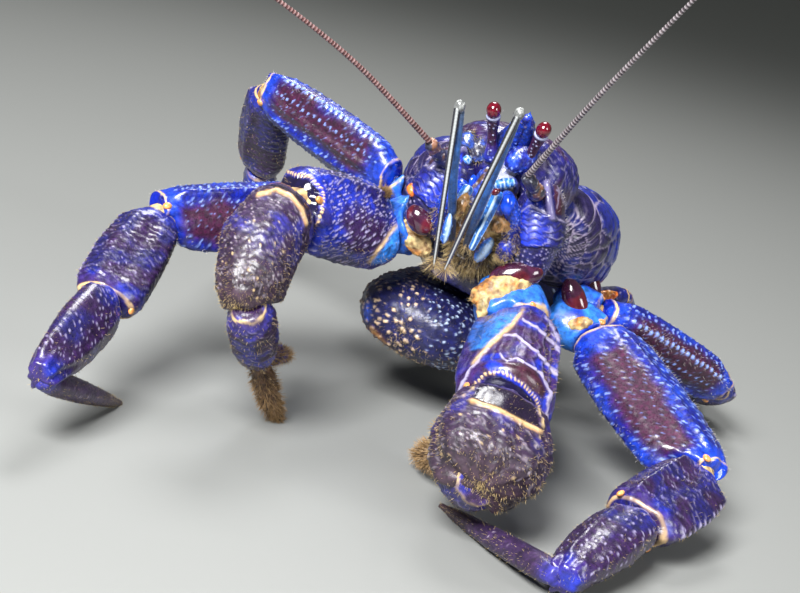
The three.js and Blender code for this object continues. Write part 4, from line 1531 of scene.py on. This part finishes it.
# %% [markdown]
# ## Pieces placed on the face
# The mouth and the belly are wrapped over their solids first. The smallest pieces of the face then
# sit on the frame. A line of sight through a pixel of the picture finds the surface, and the
# piece's middle is put a little in front of it or a little inside it. So the piece is where the
# picture has it, and still rests on the crab when it is seen from any side.

# %% Mouth and belly skin
MOUTH_BLUE = ((440, 120), (535, 140), (530, 210), (505, 216), (470, 205), (450, 200))
MOUTH_PALE = ((488, 158), (514, 166), (512, 182), (492, 180))
MOUTH_GOLD = ((454, 190), (468, 190), (466, 215), (452, 214))
MOUTH_FOOT = ((488, 214), (518, 214), (516, 236), (486, 236))
# Outlines of painted shade: the hollow beside the mouth and the low part under it.
MOUTH_HOLLOW_SHADE = ((516, 180), (536, 190), (520, 232), (512, 214))
MOUTH_LOW_SHADE = ((440, 240), (500, 258), (500, 300), (430, 290))


def paint_mouth(plate):
    wavy = plate.pixel + (clouds(plate.points, 2.0, 58)[:, None] - 0.5) * 8
    mask(plate, "bright", patch(wavy, MOUTH_BLUE, 8) * mottled(plate, 3.0, 60, 0.25, 0.5))
    mask(plate, "cream", patch(wavy, MOUTH_GOLD, 6) * 0.7)
    mask(plate, "cream", patch(wavy, MOUTH_FOOT, 6) * 0.8)
    # Painted shade: near-black patches in the hollow beside the mouth and in the low part under it.
    for outline in (MOUTH_HOLLOW_SHADE, MOUTH_LOW_SHADE):
        mask(plate, "panel", patch(wavy, outline, 10) * 0.9)
    granules(plate, 1.6, 0.6, 0.4, 1.0, 0.9, seed=59, pale=0.45)
    mask(plate, "mark", patch(wavy, MOUTH_PALE, 5) * 0.7)
    roughen(plate, 0.6, 2.5)


plate = wrap("mouth_skin", ["mouth"], (0, 8, 56), (0, 4, 92), FORWARDS, caps=(0.5, 0.5), spacing=0.45)
paint_mouth(plate)
plates["mouth"] = finish(plate, MOUTH_SHELL, "joint", ["mouth"])
plate = wrap("thorax_skin", ["thorax"], (0, 8, 53), (0, 92, 52), UPWARDS, caps=(0.4, 0.4), spacing=0.8)
granules(plate, 2.2, 0.8, 0.3, 1.0, 0.8, seed=65, pale=0.3)
roughen(plate, 0.4, 4.0)
plates["thorax"] = finish(plate, VIOLET_SHELL, "joint", ["thorax"])
print(f"{len(pieces_made)} plates with the mouth and the belly")

# %% Placing a piece by a pixel


def solid_tree(nodes):
    points, faces, _ = solid_in_level(nodes)
    return BVHTree.FromPolygons([Vector(p) for p in points], faces)


FEELERS = ("antenna_left", "antenna_right", "antennule_left", "antennule_right")
BODY_TREE = solid_tree([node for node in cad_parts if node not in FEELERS])


def on_body(x, y, lift):
    """The point of the crab at a pixel, moved towards the camera by lift mm."""
    way = sight(x, y)
    hit = BODY_TREE.ray_cast(Vector(CAMERA_AT), Vector(way))
    if hit[0] is None:
        raise ValueError(f"Nothing of the crab at pixel {x}, {y}")
    return np.array(hit[0]) - lift * way


def lump(name, at, sizes, along, up, material, slot, ornament, spacing=0.45):
    """A rounded body of sizes (length, width, height) in mm, centred at a point."""
    way = unit(np.asarray(along, float))
    half = sizes[0] / 2
    wide, high = sizes[1] / 2, sizes[2] / 2
    mesh, fraction, turn = ball(name, max(12, round(math.pi * half / spacing)),
                                max(12, round(math.pi * (wide + high) / spacing)))
    plate = Plate()
    plate.mesh, plate.turn, plate.name = mesh, turn, name
    side = unit(np.cross(way, up))
    over = np.cross(side, way)
    share = np.sin(fraction * math.pi)
    plate.points = (
        at - (half * np.cos(fraction * math.pi))[:, None] * way
        + (wide * share * np.cos(turn))[:, None] * side
        + (high * share * np.sin(turn))[:, None] * over
    )
    plate.s = half * (1 - np.cos(fraction * math.pi))
    plate.length, plate.round, plate.front = sizes[0], (wide + high) / 2, math.pi / 2
    plate.left = plate.length - plate.s
    plate.along = way
    finish_shape(plate)
    ornament(plate)
    plates[name] = finish(plate, material, slot)
    return plate


MOUTH_PIXEL = (504, 184)
print("The mouth is at", np.round(on_body(*MOUTH_PIXEL, 0.0), 1), "mm in the level frame")

# %% Ornament of the small pieces


def smooth_dome(plate):
    mask(plate, "gloss", 1.0)
    roughen(plate, 0.08, 3.0)
    mask(plate, "bright", mottled(plate, 4.0, 77, 0.45, 0.65))
    # A painted highlight: the part of each dome that faces up, as the camera sees it, is painted pale.
    mask(plate, "mark", 0.6 * rise(plate.normals @ UP, 0.80, 0.95))


def soft_skin(plate):
    folds = clouds(plate.points, 1.5, 78)
    plate.height += 0.7 * (folds - 0.5)
    mask(plate, "bright", mottled(plate, 3.2, 79, 0.5, 0.7))
    # Painted shade in the low parts of the folds.
    mask(plate, "dark", 0.8 * (1 - rise(folds, 0.25, 0.5)))
    roughen(plate, 0.25, 0.8)


def blue_granules(plate):
    granules(plate, 1.3, 0.5, 0.35, 1.0, 0.9, seed=80, pale=0.45)
    mask(plate, "bright", mottled(plate, 2.5, 81, 0.35, 0.6))
    roughen(plate, 0.2, 1.2)


def plain_bright(plate):
    mask(plate, "bright", 1.0)
    mask(plate, "gloss", 1.0)
    roughen(plate, 0.12, 2.0)


def cyan_ribs(plate):
    ribs = 0.5 + 0.5 * np.cos(plate.s * 2 * math.pi / 1.5 + 3 * clouds(plate.points, 1.5, 82))
    plate.height += 0.2 * ribs
    mask(plate, "mark", 0.55 * rise(ribs, 0.7, 1.0))
    granules(plate, 1.2, 0.4, 0.2, 1.0, 0.6, seed=83, pale=0.6)


def cyan_palp(plate):
    mask(plate, "mark", 0.7 * np.exp(-(apart(plate.face, -0.3) / 0.5) ** 2))
    mask(plate, "bright", rise(np.abs(apart(plate.face, -0.3)), 0.8, 1.6))
    granules(plate, 1.2, 0.5, 0.25, 1.0, 0.8, seed=85, pale=0.4)


def ruby(plate):
    mask(plate, "gloss", 1.0)

# %% Domes, skins and small plates of the face
# name: pixel, (length, width, depth) in mm, direction in the picture, how far forward, finish
DOMES = {
    "coxa_dome_left": ((516, 276), (18.5, 10.0, 8.0), 8, 1.2, "dome"),
    "coxa_skin_left": ((500, 290), (21.0, 10.0, 6.0), 16, -1.4, "skin"),
    "coxa_skin_low_left": ((484, 306), (9.0, 5.0, 4.0), 74, -0.8, "skin"),
    "coxa_dome_right": ((420, 220), (11.5, 8.6, 7.0), -60, 0.0, "dome"),
    "coxa_skin_right": ((416, 238), (15.0, 8.5, 6.0), -58, -1.2, "skin"),
    "leg_dome_left": ((575, 301), (17.0, 8.5, 7.0), -72, -0.4, "dome"),
    "second_leg_dome_left": ((590, 284), (13.0, 7.5, 6.0), -70, -1.4, "dome"),
    "leg_skin_left": ((604, 297), (11.0, 4.6, 5.0), 14, -0.4, "orange_skin"),
    "leg_skin_low_left": ((580, 324), (9.0, 5.0, 4.0), 10, -0.6, "skin"),
    "gill_skin_right": ((412, 190), (5.0, 3.0, 3.0), -80, 0.2, "orange_skin"),
    "brow": ((507, 170), (9.0, 6.0, 5.0), 25, 0.2, "pale_skin"),
    "brow_left": ((522, 157), (13.0, 8.5, 5.0), 38, -0.9, "granular"),
    "brow_right": ((480, 150), (9.0, 7.5, 4.6), 60, -0.7, "grey"),
    "brow_far_right": ((468, 142), (8.0, 7.0, 4.6), 70, -0.6, "grey"),
    "brow_spot_right": ((467, 160), (3.4, 3.0, 3.0), 40, 0.6, "cyan"),
    "lip": ((504, 184), (8.0, 3.8, 4.0), 10, 1.0, "cyan"),
    "lip_block": ((508, 204), (7.6, 4.6, 5.0), 74, 0.4, "bright"),
    "palp_knob": ((496, 192), (3.2, 2.2, 2.4), 30, 3.4, "ruby"),
    "jaw_skin": ((503, 224), (9.5, 5.6, 3.0), 20, 0.0, "brown_skin"),
    "jaw_palp_left": ((484, 250), (9.8, 4.6, 5.0), 52, 2.4, "palp"),
    "jaw_lobe_left": ((507, 249), (9.6, 6.6, 5.0), 48, 0.6, "hairy_blue"),
    "jaw_block_right": ((472, 181), (4.6, 3.2, 3.4), 70, 1.2, "bright"),
    "jaw_palp_right": ((447, 228), (10.5, 3.0, 3.4), 78, 2.0, "palp"),
    "jaw_skin_right": ((462, 205), (8.0, 4.4, 3.0), 66, 0.0, "brown_skin"),
}
# kind: its material and ornament
FACE_FINISH = {
    "dome": (RED_DOME, smooth_dome),
    "skin": (MEMBRANE, soft_skin),
    "orange_skin": (ORANGE_SKIN, soft_skin),
    "pale_skin": (PALE_SKIN, soft_skin),
    "brown_skin": (BROWN_SKIN, soft_skin),
    "granular": (BLUE_SHELL, blue_granules),
    "hairy_blue": (VIOLET_SHELL, blue_granules),
    "grey": (GREY_SHELL, blue_granules),
    "cyan": (SKY_SHELL, cyan_ribs),
    "palp": (SKY_SHELL, cyan_palp),
    "bright": (BLUE_SHELL, plain_bright),
    "ruby": (EYE_RED, ruby),
}

for name, (pixel, sizes, slant, lift, kind) in DOMES.items():
    turn = math.radians(slant)
    along = math.cos(turn) * RIGHT + math.sin(turn) * UP
    material, ornament = FACE_FINISH[kind]
    lump(name, on_body(*pixel, lift), sizes, along, BACK, material, "joint", ornament)
print(f"{len(DOMES)} small pieces on the face and the leg bases")

# %% [markdown]
# ## Eyes and stalks
# Each eye is a small polished ruby-red egg at the end of a slim violet stalk, held by a pale
# lavender rim. The stalk has a row of blue-white granules down its front.

# %% Eyes
EYE_SIZE = (5.9, 5.0, 5.8)


def stalk_radius(t, turn):
    cup = 0.62 * rise(t, 0.86, 0.97)
    return 2.7 - 1.0 * rise(t, 0.0, 0.45) + 0.5 * rise(t, 0.6, 0.9) + cup


def paint_stalk(plate):
    front = hump(np.clip(np.abs(plate.face) / 0.8, 0, 1), 1.0)
    granules(plate, 1.25, 0.5, 0.28, front, 1.0, seed=84, pale=1.0)
    mask(plate, "bright", 0.8 * (1 - rise(plate.part, 0.1, 0.5)))
    mask(plate, "mark", 0.8 * rise(plate.part, 0.90, 0.95))


for word, side in SIDES.items():
    eye = np.array([side * 8.9, -2.0, 112.8])
    foot = np.array([side * 5.5, 8.0, 95.0])
    axis = unit(eye - foot)
    globe = lump(f"eye_{word}_globe", eye, EYE_SIZE, axis, FORWARDS, EYE_RED, "eye", ruby, spacing=0.2)
    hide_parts(f"eye_{word}")
    path = (foot, eye - 1.0 * axis)
    stalk = tube(f"eye_stalk_{word}_shell", path, stalk_radius, FORWARDS, spacing=0.25)
    paint_stalk(stalk)
    plates[f"eye_stalk_{word}"] = finish(stalk, STALK_SHELL, "stalk", [f"eye_stalk_{word}"])
print(f"The eyes are {EYE_SIZE[0]} mm long")

# %% [markdown]
# ## Feelers
# A coconut crab smells with its antennules: two slim folded pairs in front of the face, each
# with a thin grey branch, a wider blue one and a clear knob at the knee. The long antennae are
# ringed lashes of close to ninety rings. Each is a tube along a curve, with its rings and stripes
# raised on it, because a separate ring for each would give thousands of small pieces.

# %% Paths of the feelers
LASHES = {
    "left": ((11.4, -20, 100), (25, -40, 134), (42, -60, 171), (52, -70, 192)),
    "right": ((-21.8, -20, 98.5), (-47, -40, 117), (-73, -60, 130), (-104, -78, 140)),
}
LASH_ROOTS = {
    "left": ((13, 4, 91), (15, -8, 94), (11.4, -20, 100)),
    "right": ((-15, 4, 90), (-20, -8, 93), (-21.8, -20, 98.5)),
}
RING = 1.25
FOLDED = {
    "left": (((-1, -8, 68), (1.5, -24, 92), (3.6, -30.5, 119)),
             ((3.6, -32, 119.5), (0.6, -31, 90), (-1.8, -28, 63))),
    "right": (((-6, -8, 68), (-10.5, -24, 92), (-14.6, -28.5, 114)),
              ((-15.6, -30, 114.5), (-10, -31, 88), (-5.6, -28, 63))),
}


def ring_lash(plate):
    wave = np.cos(plate.s * 2 * math.pi / RING)
    plate.height += 0.1 * wave
    mask(plate, "mark", 0.75 * rise(wave, 0.25, 0.8))
    mask(plate, "dark", 0.6 * rise(-wave, 0.6, 1.0))


def clear_stick(plate):
    stripes = np.cos(plate.face * 3)
    plate.height += 0.12 * stripes
    mask(plate, "dark", 0.9 * rise(-stripes, -0.1, 0.5))
    mask(plate, "mark", 0.8 * rise(stripes, 0.5, 0.9))
    rings = np.cos(plate.s * 2 * math.pi / 1.1)
    plate.height += 0.04 * rings


def blue_stick(plate):
    edge = np.abs(np.sin(plate.face))
    mask(plate, "mark", 0.6 * rise(edge, 0.85, 1.0))
    mask(plate, "dark", 0.5 * rise(np.abs(apart(plate.face, 0.9)), 0.25, 0.0))
    mask(plate, "bright", rise(plate.part, 0.0, 0.6))
    mask(plate, "panel", 0.7 * rise(plate.part, 0.8, 0.95))


def feeler_root(plate):
    granules(plate, 1.4, 0.5, 0.3, 1.0, 0.8, seed=86, pale=0.6)
    mask(plate, "orange", 0.35 * mottled(plate, 2.2, 87, 0.55, 0.7))


def root_radius(t, turn):
    return (3.3 - 1.2 * t) * (1 - 0.28 * np.exp(-((t - 0.62) / 0.07) ** 2))


def knee_granules(plate):
    granules(plate, 1.3, 0.5, 0.15, 1.0, 0.6, seed=88, pale=0.4)


def blue_radius(t, turn):
    return 1.15 + 0.35 * np.sin(math.pi * t) ** 0.7


print(f"Rings every {RING} mm")

# %% Antennae and antennules
KNEE_SIZE = (4.4, 3.6, 3.6)
KNEE_OFFSET = np.array([0.0, -0.2, 0.4])
LASH_SHELL = {"left": LASH_GREY, "right": LASH_BROWN}

for word in SIDES:
    lash = tube(f"antenna_{word}_lash", LASHES[word], lambda t, turn: 1.0 - 0.5 * t, UPWARDS, spacing=0.3,
                columns=12, samples=200)
    ring_lash(lash)
    plates[f"antenna_{word}"] = finish(lash, LASH_SHELL[word], "feeler", [f"antenna_{word}"])
    root = tube(f"antenna_root_{word}_shell", LASH_ROOTS[word], root_radius, UPWARDS, spacing=0.35)
    feeler_root(root)
    plates[f"antenna_root_{word}"] = finish(root, GREY_SHELL, "joint", [f"antenna_root_{word}"])
    rising, falling = (np.array(path, float) for path in FOLDED[word])
    wide = tube(f"antennule_{word}_blue", rising, blue_radius, FORWARDS, spacing=0.3, columns=14)
    blue_stick(wide)
    plates[f"antennule_{word}"] = finish(wide, STICK_BLUE, "feeler", [f"antennule_{word}"])
    thin = tube(f"antennule_{word}_grey", falling, lambda t, turn: 1.1 - 0.45 * t, FORWARDS, spacing=0.3,
                columns=16)
    clear_stick(thin)
    plates[f"antennule_{word}_grey"] = finish(thin, STICK_GREY, "feeler")
    knee = (rising[-1] + falling[0]) / 2 + KNEE_OFFSET
    lump(f"antennule_{word}_knee", knee, KNEE_SIZE, unit(rising[-1] - rising[1]), FORWARDS, CLEAR_KNOB,
         "feeler", knee_granules, spacing=0.3)
print(f"{len(pieces_made)} pieces with the feelers")

# %% [markdown]
# ## Outer mouthparts
# The third maxillipeds hang in front of the mouth, each a short folded leg: a broad base and a
# slim pale-blue end with long lines on it. The two arms of the fold are two tubes.

# %% Maxillipeds
FOLDED_LIMBS = {
    "left": (((12, 0, 70), (10, -6, 84), (5, -9, 90)), ((3.4, -10, 90), (3, -13, 80), (2, -14, 69))),
    "right": (((-14, 0, 66), (-13, -6, 80), (-8, -9, 88)), ((-6.5, -10, 88), (-8, -13, 78), (-8, -14, 68))),
}


def pale_stick(plate):
    lines = np.cos(plate.face * 4 + 1.5 * clouds(plate.points, 3.0, 89))
    plate.height += 0.12 * lines
    mask(plate, "mark", 0.75 * rise(lines, 0.2, 0.8))
    granules(plate, 1.2, 0.4, 0.2, 1.0, 0.6, seed=90, pale=0.7)


def arm_base(plate):
    granules(plate, 1.3, 0.5, 0.3, 1.0, 0.8, seed=91, pale=0.4)
    mask(plate, "bright", rise(plate.part, 0.35, 0.6))
    mask(plate, "gloss", rise(plate.part, 0.5, 0.7))


for word, (rising, falling) in FOLDED_LIMBS.items():
    base = tube(f"maxilliped_{word}_base", rising, lambda t, turn: 3.4 - 0.8 * t, FORWARDS, spacing=0.35)
    arm_base(base)
    plates[f"maxilliped_{word}"] = finish(base, BLUE_SHELL, "joint", [f"maxilliped_{word}"])
    stick = tube(f"maxilliped_{word}_palp", falling, lambda t, turn: 1.9 - 0.9 * t ** 1.4, FORWARDS,
                 spacing=0.3)
    pale_stick(stick)
    plates[f"maxilliped_{word}_palp"] = finish(stick, SKY_SHELL, "joint")
print(f"{len(pieces_made)} pieces with the outer mouthparts")

# %% [markdown]
# ## Joint skins and knuckles
# Between two plates of a limb there is a soft cream skin, and on both sides of the joint a small
# hard knuckle on which the plates turn. Both are placed from the joints of the limbs: the skin
# round the joint, and the knuckles at the ends of its hinge line. They sink into the plates beside
# them, so no gap shows. The fourth legs, the slim last leg plates and the palms have none.

# %% Skins and knuckles
KNUCKLE = 2.6
KNUCKLE_SIZES = (KNUCKLE * 1.2, KNUCKLE, KNUCKLE * 0.7)
NEAR_JOINT = 5.0


def hinge_reach(plate, joint, hinge):
    """How far the plate reaches from a joint along its hinge line, in mm."""
    away = plate.points - joint
    near = np.abs(away @ plate.along) < NEAR_JOINT
    return (away[near] @ hinge).max() if near.any() else plate.round


def knuckle_paint(plate):
    mask(plate, "bright", rise(plate.s, 0.2 * plate.length, 0.6 * plate.length))
    roughen(plate, 0.12, 1.2)


for limb, (names, joints) in LIMBS.items():
    joints = np.array(joints, float)
    for i in range(1, len(names)):
        if limb.startswith("leg4") or names[i] in ("dactyl", "palm"):
            continue
        joint = joints[i]
        before, after = unit(joint - joints[i - 1]), unit(joints[i + 1] - joint)
        hinge = unit(np.cross(before, after))
        first, second = plates[f"{limb}_{names[i - 1]}"], plates[f"{limb}_{names[i]}"]
        size = 1.25 * min(first.round, second.round)
        way = unit(before + after)
        sizes = size, size * 0.95, size * 0.95
        lump(f"{limb}_{names[i]}_skin", joint, sizes, way, hinge, MEMBRANE, "joint", soft_skin, spacing=0.6)
        for sign, word in ((1, "inner"), (-1, "outer")):
            reach = min(hinge_reach(first, joint, sign * hinge), first.round * 1.05) - 0.9
            at = joint + sign * hinge * reach - 0.6 * before
            lump(f"{limb}_{names[i]}_{word}_knuckle", at, KNUCKLE_SIZES, before, hinge, KNUCKLE_SHELL,
                 "joint", knuckle_paint, spacing=0.4)
print(f"{len(pieces_made)} pieces with the skins and knuckles")

# %% [markdown]
# ## Abdomen
# The abdomen is folded under the body. It is navy, set with cream granules, which are larger on the
# crab's right side. A few points of blue and orange are drawn where
# the picture has them.

# %% Abdomen
ABDOMEN = {
    "abdomen_root": ((0, 96, 66), (0, 124, 48), (0, 0.6, 1)),
    "abdomen_bulb": ((0, 122, 40), (0, 88, 18), (0, 0, -1)),
    "abdomen_tail": ((0, 84, 24), (-13, -4, 31), (0, 0, 1)),
}
# Where the large granules end across the picture, and a blue and an orange line on the tail.
LARGE_GRANULES_END = (415, 440)
TAIL_BLUE = ((368, 306), (366, 318))
TAIL_ORANGE = ((371, 330), (386, 346))

for node, (start, end, up) in ABDOMEN.items():
    fine = 0.5 if node == "abdomen_tail" else 0.75
    plate = wrap(node + "_shell", [node], start, end, up, spacing=fine, caps=(0.5, 0.5), blur=1.6)
    large = 1 - rise(plate.pixel[:, 0], *LARGE_GRANULES_END)
    granules(plate, 2.5, 1.0, 0.7, large, 0.9, seed=61, pale=0.9, key="cream")
    granules(plate, 1.9, 0.75, 0.5, 1 - large, 0.9, seed=62, pale=0.8)
    mask(plate, "bright", stroke(plate.pixel, TAIL_BLUE, 4.0) * plate.seen)
    mask(plate, "orange", stroke(plate.pixel, TAIL_ORANGE, 3.0) * plate.seen)
    roughen(plate, 0.2, 2.0)
    plates[node] = finish(plate, BELLY_SHELL, "abdomen", [node])
print(f"{len(pieces_made)} pieces with the abdomen")

# %% [markdown]
# ## Bristles
# Stiff hairs grow in tufts on the claws' fingers, along the edges of the legs and round the
# mouth. Each hair is a small closed cone, copied many times into one mesh for each plate. The
# hairs' roots are points of the plate, so they stand on its surface and follow its ornament. The
# hairs' UV map puts each hair at its root's place on the plate, laid out flat. Blender's own hair
# curves look finer, but they aren't solid, and this model is meant to have solid hairs.

# %% Hair colours
HAIR_ROUGHNESS = 0.55


def hair_material(name, root, tip):
    material, tree, shader = new_material(name)
    ramp = add_node(tree, "ShaderNodeMapRange", {"Value": stored(tree, "along")})
    colour = mix_colour(tree, ramp.outputs[0], root, tip)
    tree.links.new(colour, shader.inputs["Base Color"])
    shader.inputs["Roughness"].default_value = HAIR_ROUGHNESS
    return material


GOLD_HAIR = hair_material("gold_hair", (0.16, 0.09, 0.03), (0.55, 0.42, 0.20))
BROWN_HAIR = hair_material("brown_hair", (0.045, 0.022, 0.011), (0.36, 0.22, 0.09))
PALE_HAIR = hair_material("pale_hair", (0.20, 0.16, 0.16), (0.66, 0.62, 0.60))


print("Hair colours:", [material.name for material in (GOLD_HAIR, BROWN_HAIR, PALE_HAIR)])

# %% Coat pieces
# The UV map is a square of ATLAS x ATLAS cells, one for each coat piece, with a small gap between.
ATLAS = 10
CELL_GAP, CELL_FILL = 0.04, 0.92
TUFT = 0.003
SHORTEST, LENGTH_SPREAD = 0.55, 0.6
STRAY = 0.35
ROOT_DEPTH = 0.25
HAIR_SEED = 100
coats = []


def one_cone():
    """Points and triangles of one hair of length 1 that stands on its root."""
    bm = bmesh.new()
    bmesh.ops.create_cone(bm, cap_ends=True, segments=3, radius1=1.0, radius2=0.12, depth=1.0)
    bmesh.ops.triangulate(bm, faces=bm.faces[:])
    spots = np.array([v.co[:] for v in bm.verts]) + np.array([0.0, 0.0, 0.5])
    faces = np.array([[v.index for v in f.verts] for f in bm.faces])
    bm.free()
    return spots, faces


CONE, CONE_FACES = one_cone()


def bristles(plate, count, length, width, material, where, lean=0.5, droop=(0.0, 0.0, 0.0)):
    """A coat piece of hairs of a length and width in mm, with roots drawn by the weight where."""
    draw = np.random.default_rng(HAIR_SEED + len(coats))
    weight = np.clip(np.broadcast_to(where, plate.s.shape), 0, None) + 1e-9
    roots = draw.choice(len(weight), count, p=weight / weight.sum())
    outward = plate.normals[roots]
    along = np.broadcast_to(plate.along, plate.points.shape)[roots]
    way = outward + lean * along + np.asarray(droop, float)
    way = way + STRAY * draw.standard_normal((count, 3))
    way /= np.linalg.norm(way, axis=1)[:, None]
    side = np.cross(way, draw.standard_normal((count, 3)))
    side /= np.linalg.norm(side, axis=1)[:, None]
    over = np.cross(way, side)
    size = length * (SHORTEST + LENGTH_SPREAD * draw.random(count))
    base = plate.points[roots] - ROOT_DEPTH * outward
    spots = (
        base[:, None, :]
        + (width * CONE[None, :, 0])[:, :, None] * side[:, None, :]
        + (width * CONE[None, :, 1])[:, :, None] * over[:, None, :]
        + (size[:, None] * CONE[None, :, 2])[:, :, None] * way[:, None, :]
    ).reshape(-1, 3)
    faces = (CONE_FACES[None] + (np.arange(count) * len(CONE))[:, None, None]).reshape(-1, 3)
    name = f"{plate.name}_hair"
    mesh = bpy.data.meshes.new(name)
    model = to_model(spots)
    model[:, 2] = np.maximum(model[:, 2], 0.0)
    mesh.from_pydata(model.tolist(), [], faces.tolist())
    stored_length = mesh.attributes.new("along", "FLOAT", "POINT")
    stored_length.data.foreach_set("value", np.tile(CONE[:, 2], count).astype(np.float32))
    corner = np.array([len(coats) % ATLAS, len(coats) // ATLAS]) / ATLAS
    place = np.stack([plate.part[roots], plate.turn[roots] / (2 * math.pi) + 0.5], axis=1)
    place = corner + (CELL_GAP + CELL_FILL * np.clip(place, 0, 1)) / ATLAS
    local = TUFT * (CONE[:, :2] * 0.25 + 0.5)
    chart = (place[:, None, :] + local[None]).reshape(-1, 2)
    layer = mesh.uv_layers.new(name="OFBake")
    layer.data.foreach_set("uv", chart[faces.ravel()].astype(np.float32).ravel())
    mesh.materials.append(material)
    coat = bpy.data.objects.new(name, mesh)
    bpy.context.scene.collection.objects.link(coat)
    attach(coat, "root")
    coats.append(count * len(CONE_FACES))


def edge_band(plate, angle, width):
    """1 on an edge of the plate, fading out over a width in mm."""
    return np.exp(-(apart(plate.turn, angle) * plate.round / width) ** 2)


print(f"One hair has {len(CONE_FACES)} triangles")

# %% Hairs of the claws
for claw, size in CLAW_SIZE.items():
    for name, count in (("finger", 1500), ("thumb", 900)):
        plate = plates[f"{claw}_{name}"]
        where = 0.3 + rise(plate.s, 0, 0.5 * plate.length)
        bristles(plate, count, 3.2 * size, 0.14, BROWN_HAIR, where)
    plate = plates[f"{claw}_carpus"]
    bristles(plate, 1500, 1.5 * size, 0.09, GOLD_HAIR, rise(plate.part, 0.1, 0.8))
    bristles(plates[f"{claw}_palm"], 700, 1.6 * size, 0.09, GOLD_HAIR, 1.0)
    plate = plates[f"{claw}_merus"]
    edges = edge_band(plate, UP_SIDE, 2.5) + edge_band(plate, LOW_SIDE, 2.5)
    bristles(plate, 500, 1.8 * size, 0.09, GOLD_HAIR, edges + 0.08)
plate = plates["claw_right_merus"]
where = patch(plate.pixel, RIGHT_CLAW_HAIR, 8) * plate.seen
bristles(plate, 500, 3.0, 0.1, BROWN_HAIR, where, droop=(0, 0, 0.6))
print(f"{len(coats)} coat pieces on the claws")

# %% Hairs of the legs
# plate: number of hairs, length in mm, share of them away from the edges, colour
LEG_HAIRS = {
    "merus": (500, 1.5, 0.05, PALE_HAIR),
    "carpus": (450, 1.4, 0.25, GOLD_HAIR),
    "propodus": (500, 1.4, 0.25, GOLD_HAIR),
    "dactyl": (500, 1.1, 0.25, GOLD_HAIR),
}
for leg, size in LEG_SIZE.items():
    for name, (count, length, spread, colour) in LEG_HAIRS.items():
        plate = plates[f"{leg}_{name}"]
        edges = edge_band(plate, UP_SIDE, 2.0) + edge_band(plate, LOW_SIDE, 2.5)
        bristles(plate, count, length * size, 0.08, colour, edges + spread)
print(f"{len(coats)} coat pieces with the legs")

# %% Hairs of the face and the abdomen
for word in SIDES:
    plate = plates[f"cheek_{word}"]
    bristles(plate, 500, 1.6, 0.07, PALE_HAIR, 0.1 + rise(plate.points[:, 1], 6, 12))
    plate = plates[f"maxilliped_{word}"]
    bristles(plate, 400, 2.4, 0.08, GOLD_HAIR, 1 - rise(plate.part, 0.3, 0.7), droop=(0, -0.2, -0.6))
    plate = plates[f"antennule_{word}_grey"]
    bristles(plate, 90, 5.0, 0.08, GOLD_HAIR, rise(plate.part, 0.9, 1.0), lean=0.4)
    plate = plates[f"antennule_{word}"]
    bristles(plate, 70, 4.0, 0.08, GOLD_HAIR, 1 - rise(plate.part, 0.0, 0.08), lean=-0.6)
    plate = plates[f"eye_stalk_{word}"]
    where = rise(plate.part, 0.93, 0.96) * rise(plate.normals[:, 1], 0.2, 0.8)
    bristles(plate, 12, 2.4, 0.06, PALE_HAIR, where, lean=0)

# piece: number of hairs and length in mm
FACE_HAIRS = {
    "jaw_lobe_left": (350, 2.0),
    "jaw_skin": (250, 2.0),
    "jaw_skin_right": (200, 2.0),
    "jaw_palp_left": (120, 1.4),
    "coxa_skin_left": (220, 1.4),
    "coxa_skin_right": (160, 1.4),
    "brow_right": (80, 1.8),
    "brow_far_right": (80, 2.0),
}
for name, (count, length) in FACE_HAIRS.items():
    where = rise(plates[name].normals @ BACK, 0, 0.5)
    bristles(plates[name], count, length, 0.07, GOLD_HAIR, where, droop=(0, 0, -0.4), lean=0)
plate = plates["mouth"]
where = rise(-plate.points[:, 2], -76, -64) * rise(-plate.normals[:, 1], 0.0, 0.5)
bristles(plate, 900, 4.0, 0.09, GOLD_HAIR, where, droop=(0, -0.3, -0.5), lean=0)
plate = plates["abdomen_tail"]
bristles(plate, 600, 1.8, 0.08, GOLD_HAIR, rise(-plate.points[:, 1], -20, 6))
print(f"Hairs: {sum(coats)} triangles in {len(coats)} pieces")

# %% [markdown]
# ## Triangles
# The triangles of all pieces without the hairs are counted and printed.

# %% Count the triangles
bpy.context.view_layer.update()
triangles = sum(len(plate.mesh.loops) - 2 * len(plate.mesh.polygons) for plate in pieces_made)
print("Triangles without hairs:", triangles)
